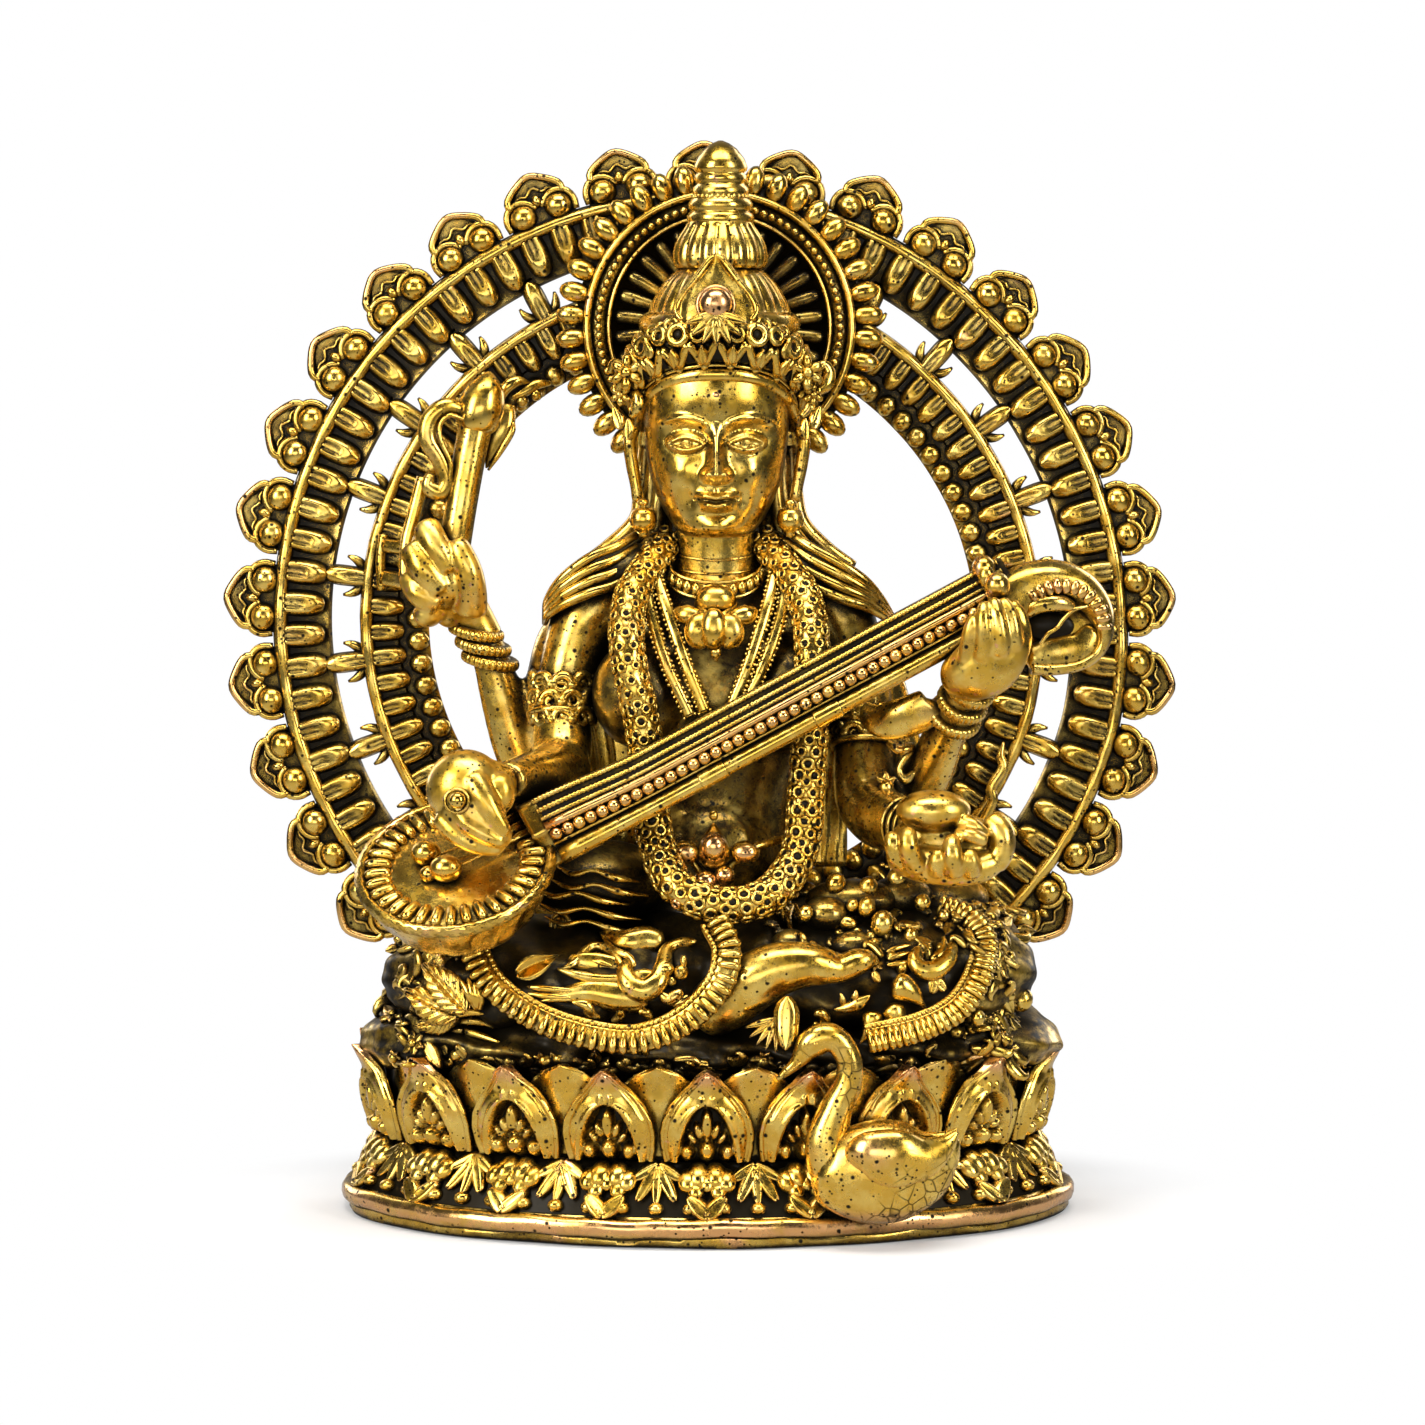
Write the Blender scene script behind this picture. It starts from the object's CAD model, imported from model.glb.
# %% [markdown]
# # A saraswati figurine in antique gilt
#
# The object is one small cast figurine: a four-armed goddess on a leafy cushion, an oval lotus
# pedestal, a round pierced halo arch behind her and a swan on the pedestal's rim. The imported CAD
# model says where every piece is. This scene gives each piece its carving and its finish, in the
# same frame. Shapes are worked out in millimetres and put into the meshes in metres.

import bpy
import numpy as np
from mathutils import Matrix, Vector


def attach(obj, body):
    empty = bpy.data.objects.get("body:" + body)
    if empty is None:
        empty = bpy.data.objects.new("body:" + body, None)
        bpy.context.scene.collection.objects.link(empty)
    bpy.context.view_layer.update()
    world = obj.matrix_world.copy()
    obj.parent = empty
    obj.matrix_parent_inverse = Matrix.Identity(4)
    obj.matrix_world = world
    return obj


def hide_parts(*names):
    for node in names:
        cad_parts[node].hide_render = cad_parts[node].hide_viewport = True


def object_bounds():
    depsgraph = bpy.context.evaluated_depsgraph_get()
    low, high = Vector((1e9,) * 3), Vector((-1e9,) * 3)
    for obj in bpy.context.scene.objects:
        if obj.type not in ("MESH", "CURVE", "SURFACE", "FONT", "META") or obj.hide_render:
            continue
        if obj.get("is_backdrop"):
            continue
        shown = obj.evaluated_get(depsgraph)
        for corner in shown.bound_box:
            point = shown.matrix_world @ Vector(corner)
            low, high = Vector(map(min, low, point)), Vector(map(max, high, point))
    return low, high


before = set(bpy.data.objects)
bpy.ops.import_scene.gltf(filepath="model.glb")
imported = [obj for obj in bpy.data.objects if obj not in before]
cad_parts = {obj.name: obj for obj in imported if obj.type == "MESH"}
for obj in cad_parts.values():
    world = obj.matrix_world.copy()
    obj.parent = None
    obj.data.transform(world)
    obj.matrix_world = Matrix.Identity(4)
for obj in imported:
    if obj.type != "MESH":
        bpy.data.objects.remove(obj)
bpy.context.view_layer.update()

# %% [markdown]
# ## Tools for surfaces
#
# Every shape below is a grid of points that numpy works out in one go: rows run along the shape and
# columns run round it. A "form" is such a grid, flattened, with its four-sided faces. Forms are
# joined into pieces at the end, where equal points are welded, so that seams and poles are closed.

# %% Small helpers
MM = 0.001
TURN = 2 * np.pi
FINE_STEPS = 24  # samples of a curve between two of its points


def smoothstep(low, high, x):
    """Rises from 0 at low to 1 at high along 3 t^2 - 2 t^3."""
    t = np.clip((x - low) / (high - low), 0, 1)
    return t * t * (3 - 2 * t)


def hill(x, y, at_x, at_y, wide, tall=None):
    """A bell-shaped hill: e to the minus of the squared distance, measured in its half widths."""
    return np.exp(-(((x - at_x) / wide) ** 2) - ((y - at_y) / (tall or wide)) ** 2)


def unit(vectors):
    """Vectors divided by their own length."""
    vectors = np.asarray(vectors, float)
    return vectors / np.maximum(np.linalg.norm(vectors, axis=-1, keepdims=True), 1e-12)


def smooth_curve(points, count):
    """Catmull-Rom spline through the points, sampled at equal arc lengths.

    Each sample is the cubic that passes through the two nearest points with slopes given by their
    outer neighbours.
    """
    points = np.asarray(points, float)
    ends = [2 * points[0] - points[1], 2 * points[-1] - points[-2]]
    padded = np.vstack([ends[0], points, ends[1]])
    t = np.linspace(0, len(points) - 1, FINE_STEPS * len(points))
    i = np.minimum(t.astype(int), len(points) - 2)
    f = (t - i)[:, None]
    a, b, c, d = padded[i], padded[i + 1], padded[i + 2], padded[i + 3]
    dense = 0.5 * (2 * b + (c - a) * f + (2 * a - 5 * b + 4 * c - d) * f**2
                   + (3 * b - a - 3 * c + d) * f**3)
    steps = np.linalg.norm(np.diff(dense[:, :3], axis=0), axis=1)
    travelled = np.concatenate([[0], np.cumsum(steps)])
    wanted = np.linspace(0, 1, count) * travelled[-1]
    return np.stack([np.interp(wanted, travelled, column) for column in dense.T], axis=1)


def grid_form(points, wrap_rows=False):
    """A grid of points (rows, columns, 3) as a form: each cell is a face, and the columns close."""
    rows, columns = points.shape[:2]
    index = np.arange(rows * columns).reshape(rows, columns)
    if wrap_rows:
        index = np.vstack([index, index[:1]])
    index = np.hstack([index, index[:, :1]])
    faces = np.stack([index[:-1, :-1], index[:-1, 1:], index[1:, 1:], index[1:, :-1]], axis=-1)
    return points.reshape(-1, 3), faces.reshape(-1, 4)


def capped(points):
    """The same grid with one more row at each end, gathered into the end ring's middle."""
    first = np.broadcast_to(points[:1].mean(axis=1, keepdims=True), points[:1].shape)
    last = np.broadcast_to(points[-1:].mean(axis=1, keepdims=True), points[-1:].shape)
    return np.concatenate([first, points, last])


def joined(forms):
    """Several forms as one: their points one after another, and the faces counted on."""
    starts = np.cumsum([0] + [len(points) for points, _ in forms[:-1]])
    faces = [quads + start for (_, quads), start in zip(forms, starts)]
    return np.concatenate([points for points, _ in forms]), np.concatenate(faces)


def moved(form, shift, scale=1.0):
    """A form scaled about the origin, then shifted."""
    return form[0] * np.asarray(scale) + np.asarray(shift), form[1]


def mirrored(form, scale):
    """A form scaled by factors of which one is negative, with its faces turned right side out."""
    return form[0] * np.asarray(scale), form[1][:, ::-1]


def repeated(form, points):
    """Copies of a form whose points (copies, points, 3) have been worked out: its faces for each."""
    counted = np.arange(len(points))[:, None, None] * len(form[0])
    return points.reshape(-1, 3), (form[1][None] + counted).reshape(-1, 4)


def carried_round(place, profile, columns):
    """A closed profile carried once round: place(angle, first, second) gives its points."""
    profile = np.asarray(profile, float)
    angle = np.linspace(0, TURN, columns, endpoint=False)[:, None]
    return grid_form(place(angle, profile[None, :, 0], profile[None, :, 1]), wrap_rows=True)


print("helpers are ready")

# %% [markdown]
# Four shapes do almost all the work: a ball, a turned form, a tube carried along a path, and a
# pillow, which is a closed leaf with a carved front and a plain back.

# %% The four shapes


def ball(centre, half_axes, around=12, rows=8):
    """Ellipsoid: x and y run with sine of the polar angle, z with its cosine, times the half-axes."""
    polar = np.linspace(0, np.pi, rows + 1)[:, None]
    angle = np.linspace(0, TURN, around, endpoint=False)[None, :]
    shape = np.stack([np.sin(polar) * np.cos(angle), np.sin(polar) * np.sin(angle),
                      np.cos(polar) * np.ones_like(angle)], axis=-1)
    return grid_form(shape * np.broadcast_to(half_axes, 3) + np.asarray(centre, float))


def spun(profile, around=64, relief=None, centre=(0, 0, 0), rounded=0):
    """Turned form: the profile's radius goes round the upright axis, times 1 + relief(angle, v).

    v counts from 0 at the profile's start to 1 at its end. With rounded, that many samples of a
    smooth curve through the profile are used in place of its corners.
    """
    profile = np.asarray(profile, float)
    if rounded:
        profile = smooth_curve(np.insert(profile, 1, 0, axis=1), rounded)[:, [0, 2]]
    angle = np.linspace(0, TURN, around, endpoint=False)[None, :]
    v = np.linspace(0, 1, len(profile))[:, None]
    radius = profile[:, :1] * (1 + (relief(angle, v) if relief else 0 * angle))
    height = profile[:, 1:] + 0 * angle
    shape = np.stack([radius * np.cos(angle), radius * np.sin(angle), height], axis=-1)
    return grid_form(capped(shape + np.asarray(centre, float)))


def tube(path, sides=12, count=None, side=(0, -1, 0), relief=None, rounded=0.0):
    """A profile carried along a path of stations [x, y, z, half width, half depth].

    At each station the ring is centre + across * cos(angle) * width + facing * sin(angle) * depth,
    where facing is the direction nearest to side. relief(angle, v) multiplies both half-axes. With
    rounded, the half-axes run out like a quarter circle over that share of the length at each end.
    """
    path = np.array([[*p[:4], p[4] if len(p) > 4 else p[3]] for p in path], float)
    line = smooth_curve(path, count or 4 * len(path))
    centre, width, depth = line[:, :3], line[:, 3], line[:, 4]
    along = unit(np.gradient(centre, axis=0))
    across = unit(np.cross(along, np.broadcast_to(side, centre.shape)))
    facing = np.cross(across, along)
    v = np.linspace(0, 1, len(line))
    if rounded:
        from_end = np.clip(np.minimum(v, 1 - v) / rounded, 0, 1)
        run_out = np.sqrt(np.maximum(1 - (1 - from_end) ** 2, 0.0004))
        width, depth = width * run_out, depth * run_out
    angle = np.linspace(0, TURN, sides, endpoint=False)[None, :]
    swell = 1 + (relief(angle, v[:, None]) if relief else 0 * angle)
    ring = (centre[:, None]
            + across[:, None] * (np.cos(angle) * width[:, None] * swell)[..., None]
            + facing[:, None] * (np.sin(angle) * depth[:, None] * swell)[..., None])
    return grid_form(capped(ring))


def even_tube(line, width, depth=None, **options):
    """A tube that keeps one half width, and one half depth if that differs, along a line."""
    half_axes = [width] if depth is None else [width, depth]
    return tube(np.hstack([line, np.tile(half_axes, (len(line), 1))]), **options)


def pillow(half_width, length, front, back, rows=9, across=7, behind=3):
    """A closed leaf: x = u * half_width(v), y = v * length, z = front(u, v) or back(u, v).

    u runs from -1 to 1 over the front and back again behind it, v from 0 to 1 along the leaf.
    """
    v = 0.5 - 0.5 * np.cos(np.pi * np.linspace(0.04, 0.96, rows))
    u = np.concatenate([np.linspace(-1, 1, across), np.linspace(1, -1, behind + 2)[1:-1]])
    is_front = np.arange(len(u)) < across
    u, v = np.meshgrid(u, (v - v[0]) / (v[-1] - v[0]))
    height = np.where(is_front, front(u, v), back(u, v)) + 0 * u
    return grid_form(capped(np.stack([u * half_width(v), v * length, height], axis=-1)))


def copies(form, origins, ups, outs, scale=1.0):
    """The form set down once for each origin: its y along up, its z along out, its x beside them."""
    origins, ups, outs = (np.atleast_2d(np.asarray(a, float)) for a in (origins, ups, outs))
    outs = unit(np.broadcast_to(outs, origins.shape))
    side = unit(np.cross(np.broadcast_to(ups, origins.shape), outs))
    ups = np.cross(outs, side)
    basis = np.stack([side, ups, outs], axis=1) * np.reshape(scale, (-1, 1, 1))
    return repeated(form, np.einsum("pk,nkj->npj", form[0], basis) + origins[:, None])


def plain_back(u, v):
    """A flat back 0.3 behind a leaf's own plane."""
    return -0.3


print("shapes are ready")

# %% [markdown]
# A piece is one mesh object with its place in its mesh. Welding is done on whole arrays: points
# that round to the same tenth of a micrometre share one number, and a face that loses a corner
# at a pole becomes a triangle.

# %% From forms to a piece
made_triangles = {}


def make_piece(name, forms, finish, stands_for=None, sharp=None, worn=None):
    """One mesh object from forms in millimetres, with its finish, riding on the root body.

    worn(x, y, z) gives the share of copper shining through at each point; it becomes an attribute.
    """
    points, quads = joined(forms if isinstance(forms, list) else [forms])
    keys = np.round(points * 1e4).astype(np.int64) + 2**20
    packed = (keys[:, 0] << 42) | (keys[:, 1] << 21) | keys[:, 2]
    _, first, number = np.unique(packed, return_index=True, return_inverse=True)
    quads = number[quads]
    kept = quads != np.roll(quads, 1, axis=1)
    corners = kept.sum(axis=1)
    whole = (corners >= 3) & (quads[:, 0] != quads[:, 2]) & (quads[:, 1] != quads[:, 3])
    loops = quads[whole][kept[whole]]
    totals = corners[whole]
    mesh = bpy.data.meshes.new(name)
    mesh.vertices.add(len(first))
    mesh.vertices.foreach_set("co", (points[first] * MM).astype(np.float32).ravel())
    mesh.loops.add(len(loops))
    mesh.loops.foreach_set("vertex_index", loops.astype(np.int32))
    mesh.polygons.add(len(totals))
    starts = np.concatenate([[0], np.cumsum(totals)[:-1]])
    mesh.polygons.foreach_set("loop_start", starts.astype(np.int32))
    mesh.update(calc_edges=True)
    mesh.validate()
    if worn:
        share = np.broadcast_to(worn(*points[first].T), len(first)).astype(np.float32)
        mesh.attributes.new("worn", "FLOAT", "POINT").data.foreach_set("value", share)
    mesh.polygons.foreach_set("use_smooth", np.ones(len(mesh.polygons), bool))
    if sharp:
        mesh.set_sharp_from_angle(angle=np.radians(sharp))
    piece = bpy.data.objects.new(name, mesh)
    bpy.context.scene.collection.objects.link(piece)
    mesh.materials.append(finish)
    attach(piece, "root")
    if stands_for:
        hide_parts(stands_for)
    made_triangles[name] = int((totals - 2).sum())
    print(f"{name}: {made_triangles[name]} triangles")
    return piece


# %% [markdown]
# ## The finish
#
# Antique gilt is bright gold over brass, blackened and then rubbed: the dark stays in the hollows,
# the high points are polished and in places worn through to a coppery pink, and small black pits
# from the casting are scattered everywhere. One shader group finds the hollows with ambient
# occlusion, one scatters the pits, one varies the tone. Every material uses all three with its own
# amounts, so that the smooth swan and the crowded cushion differ only in numbers.

# %% Shader groups


def node(tree, kind, inputs=None, **settings):
    """Adds a node, sets its options, and links or sets its inputs."""
    made = tree.nodes.new(kind)
    for key, value in settings.items():
        setattr(made, key, value)
    for key, value in (inputs or {}).items():
        if isinstance(value, bpy.types.NodeSocket):
            tree.links.new(value, made.inputs[key])
        else:
            made.inputs[key].default_value = value
    return made


def shader_group(name, inputs, outputs):
    """A new shader node group with number inputs {label: start value} and outputs {label: kind}."""
    tree = bpy.data.node_groups.new(name, "ShaderNodeTree")
    for label, value in inputs.items():
        socket = tree.interface.new_socket(label, in_out="INPUT", socket_type="NodeSocketFloat")
        socket.default_value = value
    for label, kind in outputs.items():
        tree.interface.new_socket(label, in_out="OUTPUT", socket_type=kind)
    return tree, tree.nodes.new("NodeGroupInput").outputs, tree.nodes.new("NodeGroupOutput").inputs


def fade(tree, value, low, high, start=0.0, end=1.0):
    """Maps a value from low..high to start..end, smoothly and held at both ends."""
    return node(tree, "ShaderNodeMapRange", {"Value": value, "From Min": low, "From Max": high,
                                             "To Min": start, "To Max": end},
                interpolation_type="SMOOTHSTEP").outputs["Result"]


def noise(tree, place, scale, detail=3.0, roughness=0.6):
    """Noise texture on place: a value from 0 to 1."""
    return node(tree, "ShaderNodeTexNoise", {"Vector": place, "Scale": scale, "Detail": detail,
                                             "Roughness": roughness}).outputs["Fac"]


def maths(tree, operation, first, second=0.0):
    """One math node."""
    return node(tree, "ShaderNodeMath", {0: first, 1: second}, operation=operation).outputs[0]


FLOAT, COLOUR = "NodeSocketFloat", "NodeSocketColor"

# The dark left in the hollows.
dirt, dirt_in, dirt_out = shader_group("hollow_dirt", {"Reach": 0.0012, "Depth": 0.55}, {"Dirt": FLOAT})
place = node(dirt, "ShaderNodeTexCoord").outputs["Object"]
near = node(dirt, "ShaderNodeAmbientOcclusion", {"Distance": dirt_in["Reach"]}, samples=3).outputs["AO"]
wide = node(dirt, "ShaderNodeAmbientOcclusion",
            {"Distance": maths(dirt, "MULTIPLY", dirt_in["Reach"], 5.0)}, samples=2).outputs["AO"]
closeness = maths(dirt, "ADD", maths(dirt, "MULTIPLY", near, 0.62), maths(dirt, "MULTIPLY", wide, 0.38))
ragged = maths(dirt, "MULTIPLY", maths(dirt, "SUBTRACT", noise(dirt, place, 900, 4, 0.7), 0.5), 0.36)
blotched = maths(dirt, "MULTIPLY", maths(dirt, "SUBTRACT", noise(dirt, place, 210, 3, 0.6), 0.5), 0.55)
edge = maths(dirt, "ADD", closeness, maths(dirt, "ADD", ragged, blotched))
low = maths(dirt, "SUBTRACT", dirt_in["Depth"], 0.22)
dirt.links.new(fade(dirt, edge, low, dirt_in["Depth"], 1.0, 0.0), dirt_out["Dirt"])

# Small black pits from the casting, in two sizes, more in some places than in others.
pits, pits_in, pits_out = shader_group("casting_pits", {"Amount": 0.5}, {"Pits": FLOAT})
place = node(pits, "ShaderNodeTexCoord").outputs["Object"]
patch = fade(pits, noise(pits, place, 170, 2, 0.5), 0.38, 0.64)
found = []
for grain, size in ((950, 0.13), (2100, 0.17)):
    cell = node(pits, "ShaderNodeTexVoronoi", {"Vector": place, "Scale": grain, "Randomness": 1.0})
    here = maths(pits, "MULTIPLY", maths(pits, "ADD", patch, 0.12), pits_in["Amount"])
    chosen = maths(pits, "LESS_THAN", node(pits, "ShaderNodeSeparateColor",
                                          {"Color": cell.outputs["Color"]}).outputs["Red"], here)
    found.append(maths(pits, "MULTIPLY", fade(pits, cell.outputs["Distance"], size, size + 0.14, 1.0, 0.0),
                       chosen))
pits.links.new(maths(pits, "MAXIMUM", *found), pits_out["Pits"])

# Gold that turns paler, greener or coppery from place to place.
tone, tone_in, tone_out = shader_group("gilt_tone", {"Copper": 0.3, "Worn": 0.0}, {"Color": COLOUR})
place = node(tone, "ShaderNodeTexCoord").outputs["Object"]


def blended(tree, share, first, second):
    """Colour mix of two colours or sockets."""
    made = node(tree, "ShaderNodeMix", {0: share, 6: first, 7: second}, data_type="RGBA")
    return made.outputs[2]


GOLD, PALE_GOLD = (0.82, 0.48, 0.045, 1), (0.95, 0.65, 0.13, 1)
OLIVE_GOLD, COPPER = (0.46, 0.28, 0.025, 1), (0.90, 0.48, 0.18, 1)
base = blended(tone, fade(tone, noise(tone, place, 420, 4, 0.65), 0.40, 0.66), GOLD, PALE_GOLD)
base = blended(tone, fade(tone, noise(tone, place, 240, 3, 0.6), 0.52, 0.72, 0.0, 0.55), base, OLIVE_GOLD)
spots = fade(tone, noise(tone, place, 180, 4, 0.6), 0.56, 0.70)
patchy = maths(tone, "MULTIPLY", tone_in["Worn"],
               fade(tone, noise(tone, place, 320, 3, 0.6), 0.25, 0.5, 0.35, 1.3))
copper = maths(tone, "MINIMUM", maths(tone, "ADD", maths(tone, "MULTIPLY", spots, tone_in["Copper"]),
                                      patchy), 1.0)
tone.links.new(blended(tone, copper, base, COPPER), tone_out["Color"])
print("shader groups:", [g.name for g in bpy.data.node_groups])

# %% [markdown]
# The material itself: tone, darkened by dirt and pits, on a metal whose roughness follows the dirt.
# Fine hammering goes into a bump. Worn edges come from the mesh's own convexity. A thin clear lacquer
# lies on top: it makes the highlights creamy and gives the black hollows their wet sparkle.

# %% One recipe for all gilt
DARK = (0.012, 0.008, 0.002, 1)


def gilt(name, reach=0.0012, depth=0.55, pits_amount=0.4, copper=0.3, worn=0.6, polish=0.235, grain=0.25,
         worn_at=0.56, crackle=0.0):
    """A gilt material: reach and depth of the dirt, amounts of pits, copper, wear, grain and crackle."""
    material = bpy.data.materials.new(name)
    material.use_nodes = True
    tree = material.node_tree
    shader = tree.nodes["Principled BSDF"]
    place = node(tree, "ShaderNodeTexCoord").outputs["Object"]

    def group(which, **values):
        return node(tree, "ShaderNodeGroup", values, node_tree=which).outputs[0]

    convex = node(tree, "ShaderNodeNewGeometry").outputs["Pointiness"]
    rubbed = maths(tree, "MULTIPLY", fade(tree, convex, worn_at, worn_at + 0.08), worn)
    painted = node(tree, "ShaderNodeAttribute", attribute_name="worn").outputs["Fac"]
    rubbed = maths(tree, "MAXIMUM", rubbed, painted)
    dirty = group(dirt, Reach=reach, Depth=depth)
    pitted = group(pits, Amount=pits_amount)
    colour = group(tone, Copper=copper, Worn=rubbed)
    dark = maths(tree, "MAXIMUM", dirty, pitted)
    if crackle:
        cell = node(tree, "ShaderNodeTexVoronoi", {"Vector": place, "Scale": 620.0},
                    feature="DISTANCE_TO_EDGE")
        cracks = fade(tree, cell.outputs["Distance"], 0.0, 0.07, crackle, 0.0)
        where = fade(tree, noise(tree, place, 150, 2, 0.5), 0.42, 0.56)
        dark = maths(tree, "MAXIMUM", dark, maths(tree, "MULTIPLY", cracks, where))
    tree.links.new(blended(tree, dark, colour, DARK), shader.inputs["Base Color"])
    scratch = fade(tree, noise(tree, place, 700, 5, 0.7), 0.3, 0.8, polish * 0.7, polish * 1.7)
    rough = node(tree, "ShaderNodeMix", {0: dark, 2: scratch, 3: 0.5}).outputs[0]
    tree.links.new(rough, shader.inputs["Roughness"])
    metal = fade(tree, dark, 0.0, 1.0, 1.0, 0.8)
    tree.links.new(metal, shader.inputs["Metallic"])
    height = maths(tree, "MULTIPLY", noise(tree, place, 600, 2, 0.6), grain)
    bump = node(tree, "ShaderNodeBump", {"Height": height, "Strength": 0.5, "Distance": 0.00012})
    tree.links.new(bump.outputs["Normal"], shader.inputs["Normal"])
    tree.links.new(fade(tree, dark, 0.0, 0.8, 0.7, 0.06), shader.inputs["Coat Weight"])
    shader.inputs["Coat Roughness"].default_value = 0.16
    return material


gilt_relief = gilt("gilt_relief", reach=0.0016, depth=0.72)
gilt_petal = gilt("gilt_petal", reach=0.0014, depth=0.6, pits_amount=0.6, copper=0.25, worn=0.9, grain=0.3)
gilt_halo = gilt("gilt_halo", reach=0.0018, depth=0.8, pits_amount=0.5, copper=0.15, worn=0.5, grain=0.3)
gilt_smooth = gilt("gilt_smooth", reach=0.0018, depth=0.7, pits_amount=0.7, copper=0.2, worn=0.3, grain=0.35)
gilt_hand = gilt("gilt_hand", reach=0.0012, depth=0.68, pits_amount=0.5, copper=0.2, worn=0.8, polish=0.31,
                 grain=0.12, worn_at=0.53)
gilt_swan = gilt("gilt_swan", reach=0.0014, depth=0.55, pits_amount=0.9, copper=0.2, worn=0.2, crackle=0.9)
gilt_rim = gilt("gilt_rim", reach=0.0014, depth=0.66, pits_amount=0.6, copper=0.9, worn=0.7, grain=0.5)
gilt_crowded = gilt("gilt_crowded", reach=0.002, depth=0.82, copper=0.15)
gilt_cloth = gilt("gilt_cloth", reach=0.0022, depth=0.98, pits_amount=0.8, copper=0.1, worn=0.4, grain=0.5)
gilt_dark = gilt("gilt_dark", reach=0.002, depth=1.15, copper=0.1, worn=0.2)
gilt_bright = gilt("gilt_bright", reach=0.0009, depth=0.58, pits_amount=0.6, copper=0.2, worn=0.6, grain=0.3)
gilt_speckled = gilt("gilt_speckled", reach=0.0022, depth=0.84, pits_amount=1.0, copper=0.1, worn=0.2,
                     grain=0.6)
gilt_black = gilt("gilt_black", reach=0.002, depth=1.5, copper=0.0, worn=0.1)
print("materials:", [m.name for m in bpy.data.materials if m.name.startswith("gilt")])

# %% [markdown]
# ## Camera, floor and studio
#
# The photograph looks down by about five degrees from some forty centimetres. The floor and the
# far background are both pure white there, so the floor fades to plain white away from the object,
# and only a faint contact shadow is left. Reflections see a dim floor, which keeps the metal rich.

# %% Camera
TARGET = np.array([0.5, 0.0, 46.8]) * MM
DISTANCE = 0.400
TILT = np.radians(5.0)
FOCAL_LENGTH, SENSOR_WIDTH = 107.72, 36
camera_data = bpy.data.cameras.new("camera")
camera_data.lens = FOCAL_LENGTH
camera_data.sensor_width = SENSOR_WIDTH
camera_data.clip_start = 0.01
camera = bpy.data.objects.new("camera", camera_data)
camera.location = TARGET + DISTANCE * np.array([0, -np.cos(TILT), np.sin(TILT)])
camera.rotation_euler = (np.pi / 2 - TILT, 0, 0)
bpy.context.scene.collection.objects.link(camera)
bpy.context.scene.camera = camera
print("camera at", [round(float(v), 4) for v in camera.location])

# %% Floor, softboxes and sky
bpy.context.scene.view_settings.view_transform = "Standard"

floor_mesh = bpy.data.meshes.new("floor")
FLOOR_HALF = 3.0
corners = [(FLOOR_HALF * x, FLOOR_HALF * y, 0) for x, y in ((-1, -1), (1, -1), (1, 1), (-1, 1))]
floor_mesh.from_pydata(corners, [], [(0, 1, 2, 3)])
floor = bpy.data.objects.new("floor", floor_mesh)
bpy.context.scene.collection.objects.link(floor)
floor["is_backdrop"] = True
paper = bpy.data.materials.new("white_paper")
paper.use_nodes = True
tree = paper.node_tree
tree.nodes["Principled BSDF"].inputs["Base Color"].default_value = (0.9, 0.9, 0.9, 1)
tree.nodes["Principled BSDF"].inputs["Roughness"].default_value = 0.7
tree.nodes["Principled BSDF"].inputs["Specular IOR Level"].default_value = 0.1
glow = node(tree, "ShaderNodeEmission", {"Color": (1, 1, 1, 1), "Strength": 1.0})
place = node(tree, "ShaderNodeTexCoord").outputs["Object"]
distance = node(tree, "ShaderNodeVectorMath", {0: place}, operation="LENGTH").outputs["Value"]
dim_floor = node(tree, "ShaderNodeBsdfDiffuse", {"Color": fade(tree, distance, 0.07, 0.24, 0.45, 0.07)})
oval_place = node(tree, "ShaderNodeVectorMath", {0: place, 1: (1.0, 1.5, 1.0)},
                  operation="MULTIPLY").outputs[0]
away = node(tree, "ShaderNodeVectorMath", {0: oval_place}, operation="LENGTH").outputs["Value"]
mix = node(tree, "ShaderNodeMixShader", {0: fade(tree, away, 0.037, 0.056, 0.15, 1.0),
                                         1: tree.nodes["Principled BSDF"].outputs[0],
                                         2: glow.outputs[0]})
seen = node(tree, "ShaderNodeLightPath").outputs["Is Camera Ray"]
both = node(tree, "ShaderNodeMixShader", {0: seen, 1: dim_floor.outputs[0], 2: mix.outputs[0]})
tree.links.new(both.outputs[0], tree.nodes["Material Output"].inputs["Surface"])
floor_mesh.materials.append(paper)


LIGHT_AIM = np.array([0, 0, 0.05])


def softbox(name, place, size, power):
    """A rectangular area light at a place, facing the aim point."""
    light = bpy.data.lights.new(name, "AREA")
    light.shape = "RECTANGLE"
    light.size, light.size_y = size
    light.energy = power
    box = bpy.data.objects.new(name, light)
    box.location = place
    toward = LIGHT_AIM - np.asarray(place, float)
    level = float(np.hypot(toward[0], toward[1]))
    box.rotation_euler = (np.pi / 2 + np.arctan2(toward[2], level), 0,
                          np.arctan2(-toward[0], toward[1]))
    bpy.context.scene.collection.objects.link(box)
    return box


softbox("left_box", (-0.42, -0.42, 0.26), (0.24, 0.40), 3.0)
softbox("right_box", (0.44, -0.42, 0.24), (0.18, 0.36), 2.0)
softbox("top_box", (0.0, -0.16, 0.55), (0.50, 0.22), 2.5)
softbox("front_low", (-0.05, -0.70, 0.10), (0.46, 0.18), 0.8)
softbox("back_left", (-0.35, 0.40, 0.25), (0.22, 0.4), 0.8)
softbox("back_right", (0.35, 0.40, 0.25), (0.22, 0.4), 0.8)

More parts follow.
